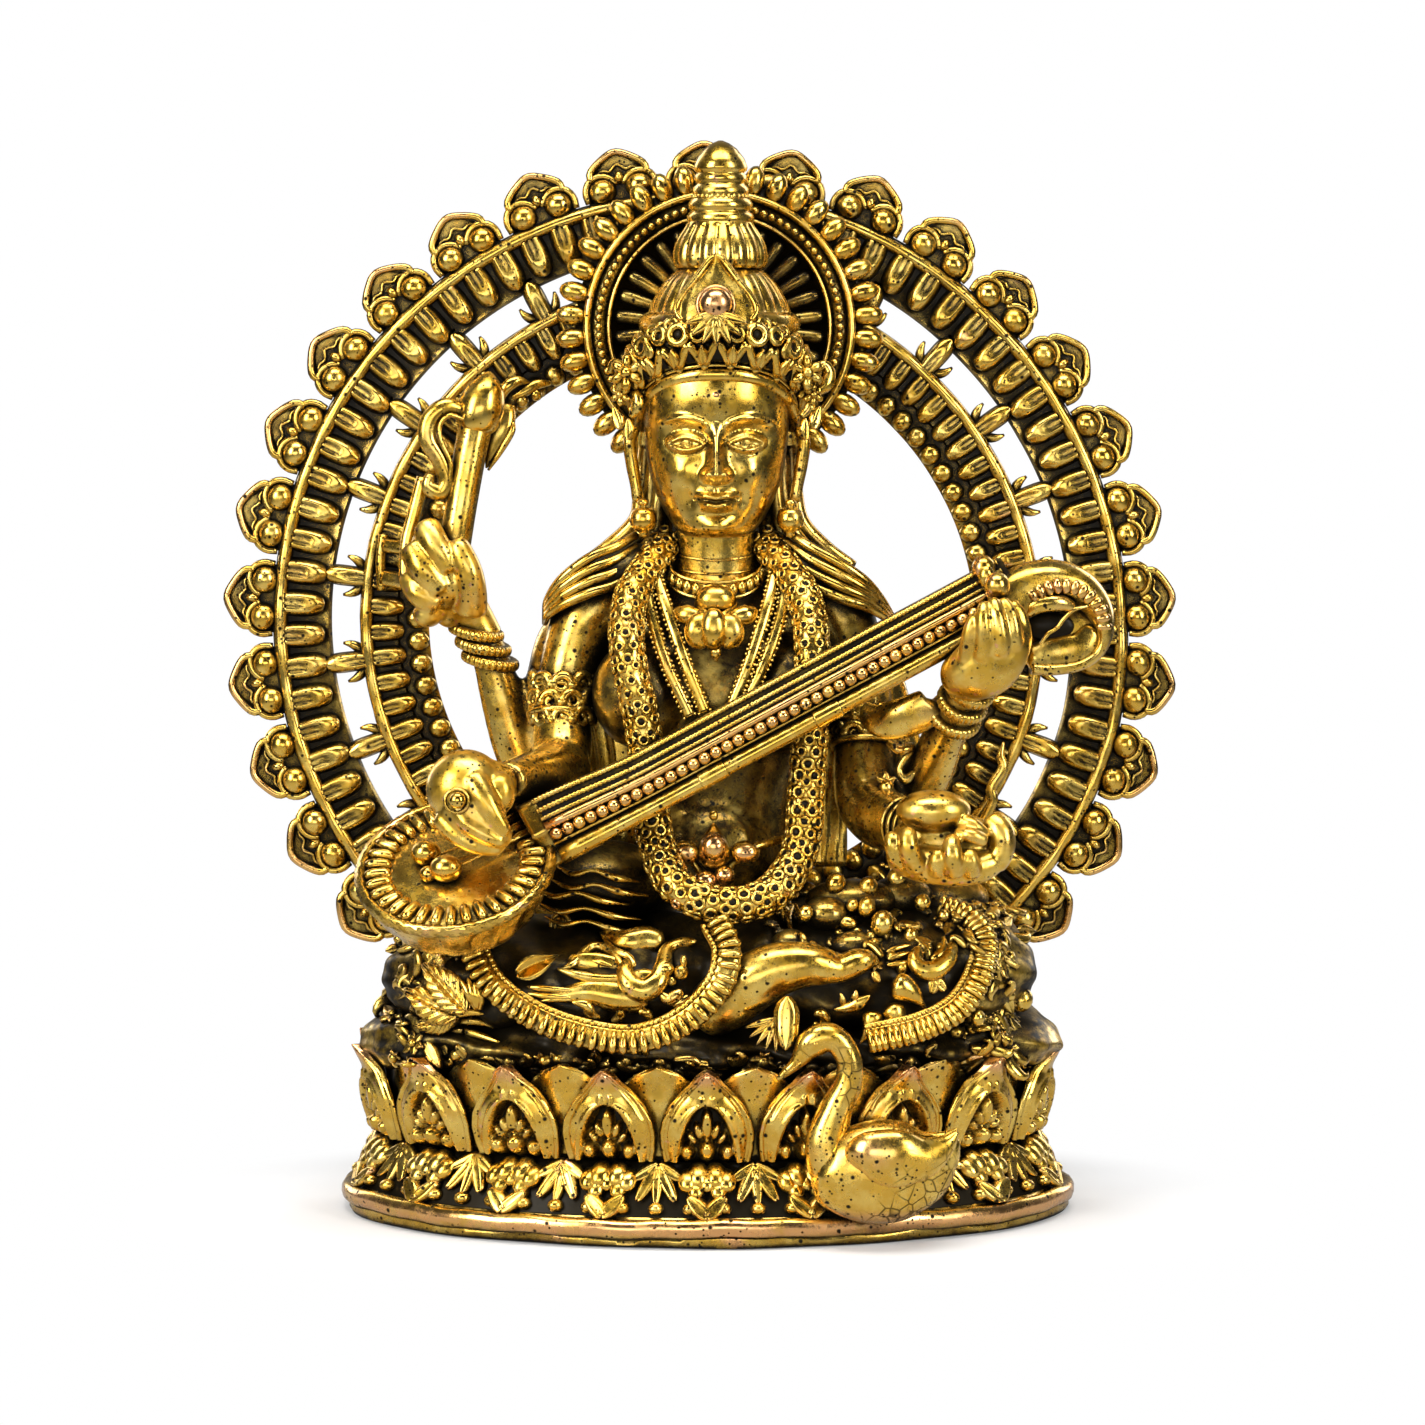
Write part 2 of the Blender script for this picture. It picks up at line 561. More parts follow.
sky = bpy.data.worlds.new("studio")
bpy.context.scene.world = sky
sky.use_nodes = True
tree = sky.node_tree
seen = node(tree, "ShaderNodeLightPath").outputs["Is Camera Ray"]
direction = node(tree, "ShaderNodeTexCoord").outputs["Generated"]
behind = fade(tree, node(tree, "ShaderNodeSeparateXYZ", {0: direction}).outputs["Y"], -0.2, 0.8, 0.02, 0.2)
dim = node(tree, "ShaderNodeBackground", {"Color": (1, 1, 1, 1), "Strength": behind})
bright = node(tree, "ShaderNodeBackground", {"Color": (1, 1, 1, 1), "Strength": 1.0})
both = node(tree, "ShaderNodeMixShader", {0: seen, 1: dim.outputs[0], 2: bright.outputs[0]})
tree.links.new(both.outputs[0], tree.nodes["World Output"].inputs["Surface"])

# %% [markdown]
# ## Lotus pedestal
#
# The pedestal is oval, so its ornament is placed by arc length round the oval: each petal gets the
# same width wherever it stands. A point is given by its share of the way round, how far it stands
# outwards from the deck's oval, and its height.

# %% Places round the oval
DECK_WIDE, DECK_DEEP, DECK_HEIGHT = 30.2, 16.68, 13.4
PETALS = 18
oval_angle = np.linspace(0, TURN, 2001)
oval_steps = np.hypot(np.diff((DECK_WIDE + 2) * np.cos(oval_angle)),
                      np.diff((DECK_DEEP + 2) * np.sin(oval_angle)))
oval_share = np.concatenate([[0], np.cumsum(oval_steps)]) / oval_steps.sum()
OVAL_LENGTH = oval_steps.sum()


def on_oval(share, outwards, height):
    """Point of the oval whose half-axes are the deck's plus outwards, at a share of the way round."""
    angle = np.interp(np.mod(share + 0.75, 1), oval_share, oval_angle)
    return np.stack(np.broadcast_arrays((DECK_WIDE + outwards) * np.cos(angle),
                                        (DECK_DEEP + outwards) * np.sin(angle), height), axis=-1)


def round_oval(form, shares, outwards=0.0, height=0.0):
    """Copies of a form bent round the oval: x becomes arc length, z outwards, y height."""
    x, y, z = form[0].T
    shares = np.asarray(shares, float)[:, None]
    return repeated(form, on_oval(shares + x / OVAL_LENGTH, z + outwards, y + height))


ruffle = np.linspace(0, 1, 360, endpoint=False)


def oval_band(profile):
    """Rows of points: a profile of [outwards, height] carried round the oval."""
    profile = np.asarray(profile, float)
    return on_oval(ruffle[None, :], profile[:, :1], profile[:, 1:])


rim_rows = oval_band([[3.0, 0.0], [3.5, 0.12], [3.75, 0.5], [3.7, 0.95], [3.5, 1.1], [3.95, 1.05],
                      [4.3, 1.3], [4.42, 1.75], [4.4, 2.25], [4.15, 2.65], [3.8, 2.8], [3.45, 2.68],
                      [3.3, 2.5], [3.1, 2.55], [2.95, 2.75], [2.75, 2.7]])
lump = np.sin(ruffle * TURN * 5 + 1.1) + 0.6 * np.sin(ruffle * TURN * 13 + 0.4)
swell = np.interp(np.arange(16), [0, 3, 4, 8, 12, 16], [0.22, 0.2, 0.05, 0.07, 0.02, 0])
rim_rows[..., :2] += unit(rim_rows[..., :2]) * (lump[None, :] * swell[:, None])[..., None]
dent = np.sin(ruffle * TURN * 7 + 0.6) * np.sin(ruffle * TURN * 3 + 2) + 0.4 * np.sin(ruffle * TURN * 29)
rim_rows[2:12, :, 2] += 0.13 * dent
middle = np.zeros_like(rim_rows[:1])
pedestal_rim = grid_form(np.concatenate([middle, rim_rows, middle + [0, 0, 2.7]]))
waist_rows = oval_band([[2.9, 2.6], [2.75, 2.9], [2.3, 3.9], [1.4, 5.6], [0.3, 7.0], [-0.3, 7.5],
                        [0.0, 9.0], [0.3, 12.0], [0.1, 13.4], [-0.6, 13.7], [-1.2, 13.4]])
pedestal_waist = grid_form(np.concatenate([middle + [0, 0, 2.6], waist_rows, middle + [0, 0, DECK_HEIGHT]]))
make_piece("pedestal_rim", pedestal_rim, gilt_rim, stands_for="lotus_pedestal", sharp=50,
           worn=lambda x, y, z: 0.75 * smoothstep(1.0, 1.4, z) * smoothstep(2.75, 2.4, z))
make_piece("pedestal_waist", pedestal_waist, gilt_black)

# %% [markdown]
# A front petal is a pillow with an ogee outline. Its front carries a raised border round a pointed
# recess, and in the recess hang a three-lobed leaf and two buds. All of it is one height field: hills
# are added for the buds and the border's edge falls away where the recess begins.

# %% The ring of petals
PETAL_LENGTH = 8.6
RECESS_LENGTH = 5.2


def petal_width(v):
    """Half width of a lotus petal from its root, v = 0, to its tip."""
    return 4.42 * np.interp(v, [0, 0.12, 0.3, 0.45, 0.62, 0.76, 0.86, 0.94, 1],
                            [0.93, 0.98, 1.0, 0.94, 0.76, 0.53, 0.34, 0.24, 0.08])


def petal_bulge(v):
    """How far a lotus petal swells forward, most of all at its turned-out tip."""
    return 0.4 + 1.6 * np.sin(np.pi * np.clip(0.12 + 0.62 * v, 0, 1)) + 1.3 * smoothstep(0.7, 1.0, v)


def ogive(y):
    """Half width of the recess at a height: a pointed arch 2.6 wide and 5.3 high."""
    return 2.6 * np.sqrt(np.clip(1 - (y / 5.3) ** 1.5, 0, 1))


def petal_front(u, v):
    """Bulge, plus a border with a raised edge outside the recess, plus leaf, lobes and two buds."""
    x, y = u * petal_width(v), v * PETAL_LENGTH
    rounded = 0.9 * (1 - np.abs(u) ** 2.6)
    inside = smoothstep(-0.12, 0.16, ogive(y) - np.abs(x)) * smoothstep(5.4, 5.1, y)
    lines = 0.2 * np.exp(-(((np.abs(x) - ogive(y) - 0.45) / 0.22) ** 2)) * (y < 6.2)
    lines = lines + 0.28 * np.exp(-(((petal_width(v) - np.abs(x) - 0.3) / 0.16) ** 2))
    groove = 0.16 * np.exp(-(((petal_width(v) - np.abs(x) - 0.68) / 0.16) ** 2))
    leaf = np.maximum.reduce([
        hill(x, y, 0, 3.5, 0.58, 1.75), hill(np.abs(x) - 0.25 * (y - 2.6), y, 0.72, 2.9, 0.42, 0.9),
        hill(np.abs(x) - 0.5 * (y - 2.2), y, 1.32, 2.25, 0.4, 0.66)])
    buds = np.maximum(hill(x, y, 0, 1.1, 0.85, 1.1), hill(np.abs(x), y, 1.86, 0.85, 0.72, 0.95))
    ornament = np.maximum(1.25 * smoothstep(0.3, 0.75, leaf), 1.6 * np.sqrt(smoothstep(0.25, 1.0, buds)))
    return petal_bulge(v) + rounded + lines - groove - inside * (1.45 - ornament)


def petal_back(u, v):
    """The hollow back of a lotus petal."""
    return petal_bulge(v) - 0.75 + 0.5 * u * u


front_petal = pillow(petal_width, PETAL_LENGTH, petal_front, petal_back, rows=64, across=55, behind=3)
petal_shares = np.arange(PETALS) / PETALS
between_shares = petal_shares + 0.5 / PETALS
on_petals = {"outwards": -0.1, "height": 7.55}
make_piece("front_petals", round_oval(front_petal, petal_shares, **on_petals), gilt_petal,
           worn=lambda x, y, z: 0.9 * smoothstep(14.3, 15.6, z))
recess = pillow(lambda v: ogive(RECESS_LENGTH * v) + 0.05, RECESS_LENGTH,
                lambda u, v: (petal_bulge(v * RECESS_LENGTH / PETAL_LENGTH) - 1.32
                              + 0.9 * (1 - np.abs(u * 0.62) ** 2.6)),
                lambda u, v: petal_bulge(v * RECESS_LENGTH / PETAL_LENGTH) - 1.6, rows=16, across=9)
make_piece("petal_recesses", round_oval(recess, petal_shares, **on_petals), gilt_black)

# The plainer second row stands behind and between the first.


def back_width(v):
    """Half width of a petal in the row behind."""
    return 4.2 * np.interp(v, [0, 0.3, 0.6, 0.8, 0.92, 1], [0.8, 1.0, 0.97, 0.8, 0.5, 0.08])


def back_petal_front(u, v):
    """Front of a petal in the row behind, with a raised edge."""
    edge = 0.22 * np.exp(-(((1 - np.maximum(np.abs(u), (v - 0.1) / 0.9)) / 0.05) ** 2))
    return 0.6 * v + 0.7 * (1 - u * u) + 0.5 * smoothstep(0.7, 1, v) + edge


back_petal = pillow(back_width, 8.3, back_petal_front, lambda u, v: 1.0 * v - 0.4 + 0.2 * u * u,
                    rows=26, across=25, behind=3)
make_piece("back_petals", round_oval(back_petal, between_shares, outwards=-0.1, height=7.9), gilt_petal)

# %% [markdown]
# Below the petals a skirt of small ornament slopes down to the rim: under every petal a cluster of
# berries over a little heart, between them a fan of five pointed leaves, and a string of beads
# along the rim. The skirt's slope is a shear: outwards falls as the height grows.

# %% Leaf and berry row


def leaf_shape(length, width, thick=0.35, rows=8, across=7, point=1.0):
    """Pointed leaf: half width = width * sin(pi v^0.8)^point, with a raised midrib and edges."""
    def half_width(v):
        return width * np.sin(np.pi * np.clip(0.06 + 0.9 * v, 0, 1) ** 0.8) ** point + 0.02

    def front(u, v):
        return thick * (0.35 + 0.65 * np.sqrt(np.maximum(1 - u * u, 0)) - 0.35 * np.exp(-(u / 0.2) ** 2))

    return pillow(half_width, length, front, plain_back, rows=rows, across=across)


def sheared(form, slope):
    """Leans a form: z grows by slope for each unit of y."""
    points = form[0].copy()
    points[:, 2] += slope * points[:, 1]
    return points, form[1]


def turned(form, degrees):
    """Turns a form about its own z axis."""
    c, s = np.cos(np.radians(degrees)), np.sin(np.radians(degrees))
    return form[0] @ np.array([[c, s, 0], [-s, c, 0], [0, 0, 1]]), form[1]


berry = ball((0, 0, 0), (1.08, 1.18, 1.05), around=12, rows=9)
heart = joined([moved(turned(leaf_shape(2.4, 0.85, 1.05, point=0.5), turn), (0.06 * turn / 42, 0.0, 0.3))
                for turn in (-46, 46)])
cluster = joined([moved(berry, (side * x, y, 0.4), size) for side in (-1, 1)
                  for x, y, size in ((0.8, 3.35, 1.0), (1.75, 2.9, 0.9), (1.0, 2.2, 0.8))]
                 + [heart, moved(berry, (0, 0.6, 0.45), 0.55), moved(berry, (0, 2.75, 0.55), 0.7)])
fan = joined([moved(turned(leaf_shape(length, wide, 0.8, point=0.4), turn), (0, 4.2, 0.05))
              for turn, length, wide in ((180, 3.2, 0.6), (150, 3.4, 0.72), (210, 3.4, 0.72),
                                         (118, 2.5, 0.62), (242, 2.5, 0.62))])
pearl = ball((0, 0, 0), (0.72, 0.62, 0.72), around=10, rows=7)
slope = -0.52
row_height = 3.0
skirt = [
    round_oval(sheared(cluster, slope), petal_shares, outwards=2.7, height=row_height),
    round_oval(sheared(fan, slope), between_shares, outwards=2.7, height=row_height),
    round_oval(moved(pearl, (0, 0.55, 0.0)), (np.arange(3 * PETALS) + 0.5) / (3 * PETALS), outwards=2.75,
               height=row_height),
]
make_piece("berry_row", skirt, gilt_petal)

# %% [markdown]
# ## Halo arch
#
# The arch is a flat ring that stands behind the seat. It is best described by an angle from the top,
# a radius and a depth. The real ring isn't quite round: hammering has pushed it in at the upper
# right and out at both sides, so the radius is multiplied by a slowly varying factor.

# %% Places on the ring
RING_X, RING_Z = -0.3, 54.95
PLATE_FRONT = 9.9
PLATE_BACK = PLATE_FRONT + 1.6
OUTER_ROD, INNER_ROD = 40.2, 32.05
hammered_at = np.radians([-180, -120, -90, -60, -30, 0, 20, 45, 60, 75, 90, 105, 120, 180])
hammered = np.array([1, 1.010, 1.010, 1.006, 1.0, 0.997, 0.994, 0.981, 0.979, 0.984, 0.992, 1.008, 1.012, 1])


def on_ring(angle, radius, depth):
    """Point at an angle clockwise from the top; the radius is stretched by the hammering."""
    angle = np.mod(angle + np.pi, TURN) - np.pi
    radius = radius * np.interp(angle, hammered_at, hammered)
    return np.stack(np.broadcast_arrays(RING_X + radius * np.sin(angle), depth,
                                        RING_Z + radius * np.cos(angle)), axis=-1)


def round_ring(form, angles, radius, depth=PLATE_FRONT, inwards=False):
    """Copies bent round the ring: x becomes the angle, y the radius, z stands out to the front."""
    x, y, z = form[0].T
    angles = np.asarray(angles, float)[:, None]
    if inwards:
        x, y = -x, -y
    return repeated(form, on_ring(angles + x / radius, radius + y, depth - z))


CARVED = np.radians(135)
RING_COLUMNS = 300
outer_band = carried_round(on_ring, [
    [35.6, PLATE_BACK], [35.4, PLATE_FRONT + 0.5], [35.7, PLATE_FRONT + 0.05], [36.3, PLATE_FRONT + 0.3],
    [39.5, PLATE_FRONT + 0.3], [41.0, PLATE_FRONT + 0.2], [41.0, PLATE_BACK]], RING_COLUMNS)
inner_band = carried_round(on_ring, [
    [26.4, PLATE_BACK], [26.2, PLATE_FRONT + 0.8], [26.6, PLATE_FRONT + 0.55], [29.0, PLATE_FRONT + 0.55],
    [29.2, PLATE_FRONT + 0.2], [31.4, PLATE_FRONT + 0.2], [32.6, PLATE_FRONT + 0.15],
    [32.75, PLATE_FRONT + 0.5], [32.7, PLATE_BACK]], RING_COLUMNS)
foot = grid_form(capped(np.array([[(x, y, z) for x, y in ((-12, 9.95), (12, 9.95), (12, 11.5), (-12, 11.5))]
                                  for z in (13.75, 17.4)], float)))
make_piece("halo_bands", [outer_band, inner_band, foot], gilt_cloth, stands_for="halo_arch", sharp=45)


def rod(radius, thickness):
    """A rod round the ring whose thickness wavers a little, as if hammered."""
    angle = np.linspace(0, TURN, 420, endpoint=False)[:, None]
    around = np.linspace(0, TURN, 10, endpoint=False)[None, :]
    waver = thickness * (1 + 0.05 * np.sin(23 * angle + 1) + 0.05 * np.sin(57 * angle + 2))
    centre = PLATE_FRONT - 0.35
    return grid_form(on_ring(angle, radius + waver * np.cos(around), centre - waver * np.sin(around)),
                     wrap_rows=True)


make_piece("halo_rods", [rod(OUTER_ROD, 0.66), rod(INNER_ROD, 0.62)], gilt_halo)

# %% [markdown]
# Along each rod hang eighty small pointed buds with a groove that opens towards the rod. The slots
# between the two bands are bridged by struts, each a grooved bud with a little horn on both sides.

# %% Buds and struts


def bud_width(v):
    """Half width of a bud over its greatest half width."""
    return np.interp(v, [0, 0.25, 0.55, 0.75, 0.88, 0.96, 1], [0.88, 1.0, 1.0, 0.95, 0.82, 0.6, 0.2])


def bud_front(u, v):
    """Rounded bud: an arch across, with a groove that fades out towards the tip."""
    centre = np.clip((0.72 - v) * 0.5, 0, 0.2)
    groove = 0.4 * np.exp(-(((np.abs(u) - centre) / 0.12) ** 2)) * smoothstep(0.7, 0.5, v)
    return np.maximum(1 - np.abs(u) ** 2.2, 0) ** 0.5 * (1 - 0.3 * smoothstep(0.6, 1, v)) - groove


def bud(length, width, height, rows=9):
    """A long bud of the arch, flat at the back."""
    return pillow(lambda v: width * bud_width(v), length, lambda u, v: height * bud_front(u, v),
                  plain_back, rows=rows, across=11, behind=2)


STUDS = 80
stud_angles = (np.arange(STUDS) + 0.5) * TURN / STUDS
outer_buds = round_ring(bud(3.75, 1.4, 1.7), stud_angles, 39.8, PLATE_FRONT + 0.45, inwards=True)
inner_buds = round_ring(bud(3.1, 1.12, 1.45), stud_angles, 31.6, PLATE_FRONT + 0.4, inwards=True)
bead = ball((0, 0, 0), (1.05, 1.15, 0.8), around=9, rows=6)
back_beads = round_ring(bead, stud_angles + 0.5 * TURN / STUDS, 27.3, PLATE_FRONT + 0.5)
make_piece("halo_buds", [outer_buds, inner_buds, back_beads], gilt_halo)

STRUTS = 26
strut_angles = np.arange(STRUTS) * TURN / STRUTS
strut_angles = strut_angles[np.abs(np.mod(strut_angles + np.pi, TURN) - np.pi) < CARVED + 0.05]
stem = bud(3.9, 0.95, 1.1, rows=10)
stem_back = pillow(lambda v: 0.5, 4.4, lambda u, v: 0.2, lambda u, v: -1.2, rows=3, across=3, behind=1)


def horn(turn):
    """A small curled leaf: a tapering tube that leans away from the stem."""
    return tube([[0.55 * turn, 0.0, 0.0, 0.45, 0.4], [1.2 * turn, 0.35, 0.15, 0.5, 0.42],
                 [1.6 * turn, 1.0, 0.25, 0.36, 0.3], [1.75 * turn, 1.75, 0.2, 0.12, 0.1]],
                sides=8, count=8, side=(0, 0, 1))


strut = joined([moved(stem, (0, -0.2, -0.2)), moved(stem_back, (0, -0.4, -0.5)),
                moved(horn(-1), (0, 0.1, -0.5)), moved(horn(1), (0, 0.1, -0.5))])
make_piece("halo_struts", round_ring(strut, strut_angles, INNER_ROD + 0.5), gilt_crowded)

# %% [markdown]
# The fringe: each finial is a lotus bud seen flat, a sunk plate inside a pointed raised border, with
# a wavy line, a centre bead, and two round domes under arched rims at its foot.

# %% The fringe of finials


def arch_tube(points, thickness, count=14, lift=0.3, sides=7):
    """A thin raised line through points of the finial's plane."""
    return tube([[x, y, lift, thickness, thickness] for x, y in points], sides=sides, count=count,
                side=(0, 0, 1))


def finial_width(v):
    """Half width of a finial from its foot to its point."""
    return np.interp(v, [0, 0.2, 0.42, 0.6, 0.72, 0.9, 1], [3.2, 3.3, 2.7, 2.5, 2.3, 0.9, 0.15])


finial_plate = pillow(finial_width, 4.6, lambda u, v: 0.0, lambda u, v: -1.5, rows=9, across=7, behind=3)
border = arch_tube([[-2.5, 2.2], [-2.55, 2.7], [-2.35, 3.25], [-1.3, 4.05], [0, 4.62], [1.3, 4.05],
                    [2.35, 3.25], [2.55, 2.7], [2.5, 2.2]], 0.35, count=22, lift=0.45)
wave = arch_tube([[-2.0, 2.75], [-1.35, 3.05], [-0.75, 2.85], [0, 3.45], [0.75, 2.85], [1.35, 3.05],
                  [2.0, 2.75]],
                 0.17, count=18, lift=0.25, sides=5)
finial_parts = [border, wave, ball((0, 2.15, 0.35), (0.45, 0.7, 0.6), around=8, rows=6)]
for side in (-1, 1):
    finial_parts.append(ball((1.72 * side, 1.1, 0.25), (1.32, 1.28, 1.25), around=16, rows=10))
    finial_parts.append(arch_tube([[3.25 * side, 0.3], [3.3 * side, 1.3], [2.85 * side, 2.2],
                                   [1.9 * side, 2.6], [0.95 * side, 2.3], [0.25 * side, 1.5]], 0.34,
                                   count=14, lift=0.4))
finial = joined(finial_parts)
FINIALS = 33
finial_angles = np.arange(-12, 13) * TURN / FINIALS
make_piece("halo_finials", round_ring(finial, finial_angles, 40.75, PLATE_FRONT + 0.15), gilt_halo,
           worn=lambda x, y, z: 0.5 * smoothstep(44.0, 45.0, np.hypot(x - RING_X, z - RING_Z)))
make_piece("finial_plates", round_ring(finial_plate, finial_angles, 40.75, PLATE_FRONT + 0.25), gilt_halo)

# %% [markdown]
# ## Swan
#
# The swan is the one smooth piece: an egg-shaped body with folded wings, a swan's neck as a tapering
# tube and a small head with its beak. Faint scale-like feathers cover the back of the body; they are
# rows of shallow scallops in the radius.

# %% Swan
SWAN = 14.2
SWAN_PLACE = np.array([15.4, -20.15, 3.2])


def swan_place(form):
    """The swan's own frame carried to its place on the rim."""
    return moved(form, SWAN_PLACE, SWAN)


def feathers(angle, v):
    """Shallow scallops: rows along the body, each shifted by half a feather against the last."""
    row = v * 16
    shift = 0.5 * np.mod(np.floor(row), 2)
    across = np.abs(np.mod(angle / TURN * 26 + shift, 1) - 0.5) * 2
    scallop = np.mod(row, 1) - 0.35 * across**2
    mask = smoothstep(0.42, 0.55, v) * smoothstep(1.0, 0.9, v)
    return 0.035 * mask * (smoothstep(0.0, 0.25, np.mod(scallop, 1)) - 1)


swan_body = tube([[-0.4, 0, 0.3, 0.03], [-0.375, 0, 0.29, 0.14, 0.11], [-0.28, 0, 0.27, 0.25, 0.17],
                  [-0.08, 0, 0.27, 0.325, 0.21], [0.12, 0, 0.29, 0.325, 0.21], [0.29, 0, 0.33, 0.25, 0.17],
                  [0.41, 0, 0.4, 0.14, 0.1], [0.475, 0, 0.46, 0.06, 0.05], [0.5, 0, 0.49, 0.015, 0.015]],
                 sides=96, count=120, relief=feathers)
wing = tube([[-0.2, -0.1, 0.36, 0.06, 0.05], [-0.08, -0.16, 0.41, 0.15, 0.09], [0.1, -0.17, 0.39, 0.19, 0.1],
             [0.28, -0.13, 0.39, 0.14, 0.08], [0.42, -0.07, 0.46, 0.07, 0.045],
             [0.5, -0.04, 0.54, 0.012, 0.012]],
            sides=40, count=60)
far_wing = mirrored(wing, (1, -1, 1))
neck = tube([[-0.2, 0, 0.2, 0.15, 0.12], [-0.3, 0, 0.32, 0.15, 0.12], [-0.325, 0, 0.48, 0.135, 0.11],
             [-0.27, 0, 0.67, 0.108, 0.095], [-0.195, 0, 0.84, 0.09, 0.082], [-0.185, 0, 0.98, 0.082, 0.077],
             [-0.25, 0, 1.1, 0.086, 0.08], [-0.34, 0, 1.135, 0.098, 0.088], [-0.43, 0, 1.09, 0.094, 0.083],
             [-0.485, 0, 1.02, 0.064, 0.06], [-0.53, 0, 0.965, 0.042, 0.042], [-0.585, 0, 0.915, 0.03, 0.03],
             [-0.64, 0, 0.865, 0.012, 0.014]], sides=28, count=110)
eyes = [ball((-0.4, side * 0.078, 1.105), (0.018, 0.012, 0.018), around=10, rows=6) for side in (-1, 1)]
beak_line = tube([[-0.49, -0.055, 0.985, 0.006], [-0.56, -0.03, 0.925, 0.005], [-0.62, -0.012, 0.88, 0.003]],
                 sides=6, count=8)
make_piece("swan_body", [swan_place(f) for f in (swan_body, wing, far_wing)], gilt_swan, stands_for="swan",
           worn=lambda x, y, z: 0.8 * hill(x, z, 14.6, 9.6, 1.7, 1.1) + 0.5 * smoothstep(4.2, 3.4, z))
make_piece("swan_neck", [swan_place(f) for f in (neck, *eyes, beak_line)], gilt_swan)

# %% [markdown]
# ## Head
#
# The face is a plain egg with features added as a height field: hills for brows, nose, lips and
# cheeks, thin lines for the eyelids and the mouth. The proportions are the drawing book's: hairline,
# brows, nose and chin a third of the face apart, and one eye's width between the eyes.

# %% Face
HEAD_X, CHIN = 0.85, 63.4
MIDDLE = 0.8  # the body's middle line


def face_relief(x, h):
    """Sum of hills and lines over x (from the middle) and h (above the chin), in millimetres."""
    s = np.abs(x)
    brow_line = 10.3 + 0.8 * np.sin(np.pi * np.clip((s - 0.5) / 5.4, 0, 1))
    brow = 0.4 * np.exp(-(((h - brow_line) / 0.3) ** 2)) * smoothstep(0.5, 1.3, s) * smoothstep(5.7, 4.4, s)
    forehead = 0.35 * hill(x, h, 0, 13.2, 4.5, 2.2)
    socket = -1.0 * hill(s, h, 2.75, 9.15, 1.8, 1.1)
    across = (s - 2.8) / 1.6
    inside = smoothstep(1.18, 0.95, np.abs(across))
    eyeball = 1.0 * np.sqrt(np.maximum(1 - ((s - 2.8) / 1.9) ** 2 - ((h - 8.9) / 1.15) ** 2, 0))
    upper = h - (8.72 + 0.55 * (1 - across**2))
    lower = h - (8.62 - 0.42 * (1 - across**2))
    lids = 0.34 * np.exp(-((upper / 0.16) ** 2)) + 0.26 * np.exp(-((lower / 0.15) ** 2))
    crease = -0.24 * np.exp(-(((upper - 0.62) / 0.15) ** 2))
    between = smoothstep(0.05, -0.1, upper) * smoothstep(-0.05, 0.1, lower)
    iris = np.hypot(s - 2.75, h - 8.72)
    look = -0.2 * between - 0.12 * np.exp(-(((iris - 0.42) / 0.09) ** 2)) * between
    eyes = eyeball + inside * (lids + crease + look)
    ridge = np.interp(h, [4.9, 5.3, 5.9, 6.5, 8, 9.6, 10.8], [0, 1.15, 1.95, 1.7, 1.05, 0.6, 0.12])
    wide = np.interp(h, [5, 6, 7, 8.5, 10], [0.7, 0.85, 0.68, 0.6, 0.85])
    nose = ridge * np.exp(-((x / wide) ** 2))
    wings = 0.95 * hill(s, h, 0.98, 5.85, 0.42, 0.48) - 0.3 * hill(s, h, 0.5, 5.25, 0.22, 0.16)
    mouth_line = h - (3.5 + 0.16 * (s / 1.9) ** 2 - 0.12 * hill(x, 0, 0, 0, 0.5))
    lip_mask = smoothstep(2.15, 1.1, s)
    lips = lip_mask * (0.62 * np.exp(-(((mouth_line - 0.36) / 0.3) ** 2))
                       + 0.72 * np.exp(-(((mouth_line + 0.46) / 0.36) ** 2)) * smoothstep(1.9, 0.7, s))
    parting = -0.42 * np.exp(-((mouth_line / 0.11) ** 2)) * smoothstep(2.2, 1.9, s)
    philtrum = -0.12 * hill(x, h, 0, 4.5, 0.24, 0.5)
    muzzle = 0.45 * hill(x, h, 0, 3.9, 2.1, 1.5)
    chin = 0.5 * hill(x, h, 0, 1.15, 1.5, 0.85) - 0.25 * hill(x, h, 0, 2.2, 1.3, 0.35)
    cheeks = 0.5 * hill(s, h, 3.7, 6.0, 1.7, 1.7) - 0.25 * hill(s, h, 2.35, 3.6, 0.5, 0.8)
    return (brow + forehead + socket + eyes + nose + wings + lips + parting + philtrum + muzzle + chin
            + cheeks)


# Stations from under the chin to the skull: height, half width, depth in front, depth behind.
egg = smooth_curve([[0.6, 0.1, 0.1, 0.1], [0.1, 1.6, 3.6, 0.5], [0.0, 2.5, 4.7, 1.2], [0.35, 3.3, 5.35, 2],
                    [0.9, 3.9, 5.6, 2.8], [1.7, 4.5, 5.65, 3.6], [3.0, 5.2, 5.75, 4.6], [5.0, 6.0, 5.95, 5.5],
                    [7.5, 6.5, 6.1, 6], [10, 6.75, 6.2, 6.2], [12.5, 6.8, 6.35, 6.2], [15, 6.55, 6.2, 6],
                    [17, 6.1, 5.7, 5.5], [19, 5.2, 4.8, 4.6], [21, 4, 3.5, 3.4]], 250)
spread = np.linspace(-1, 1, 290, endpoint=False)
around = np.pi * (0.42 * spread + 0.58 * spread**3)
h, wide, front_depth, back_depth = (column[:, None] for column in egg.T)
x = wide * np.sin(around)
forward = np.cos(around)
depth = np.where(forward > 0, front_depth, back_depth) * np.sign(forward) * np.abs(forward) ** 0.85
depth = depth + face_relief(x, h) * smoothstep(0.1, 0.45, forward)
face = grid_form(capped(np.stack([HEAD_X + x, -0.3 - depth, CHIN + h + 0 * x], axis=-1)))
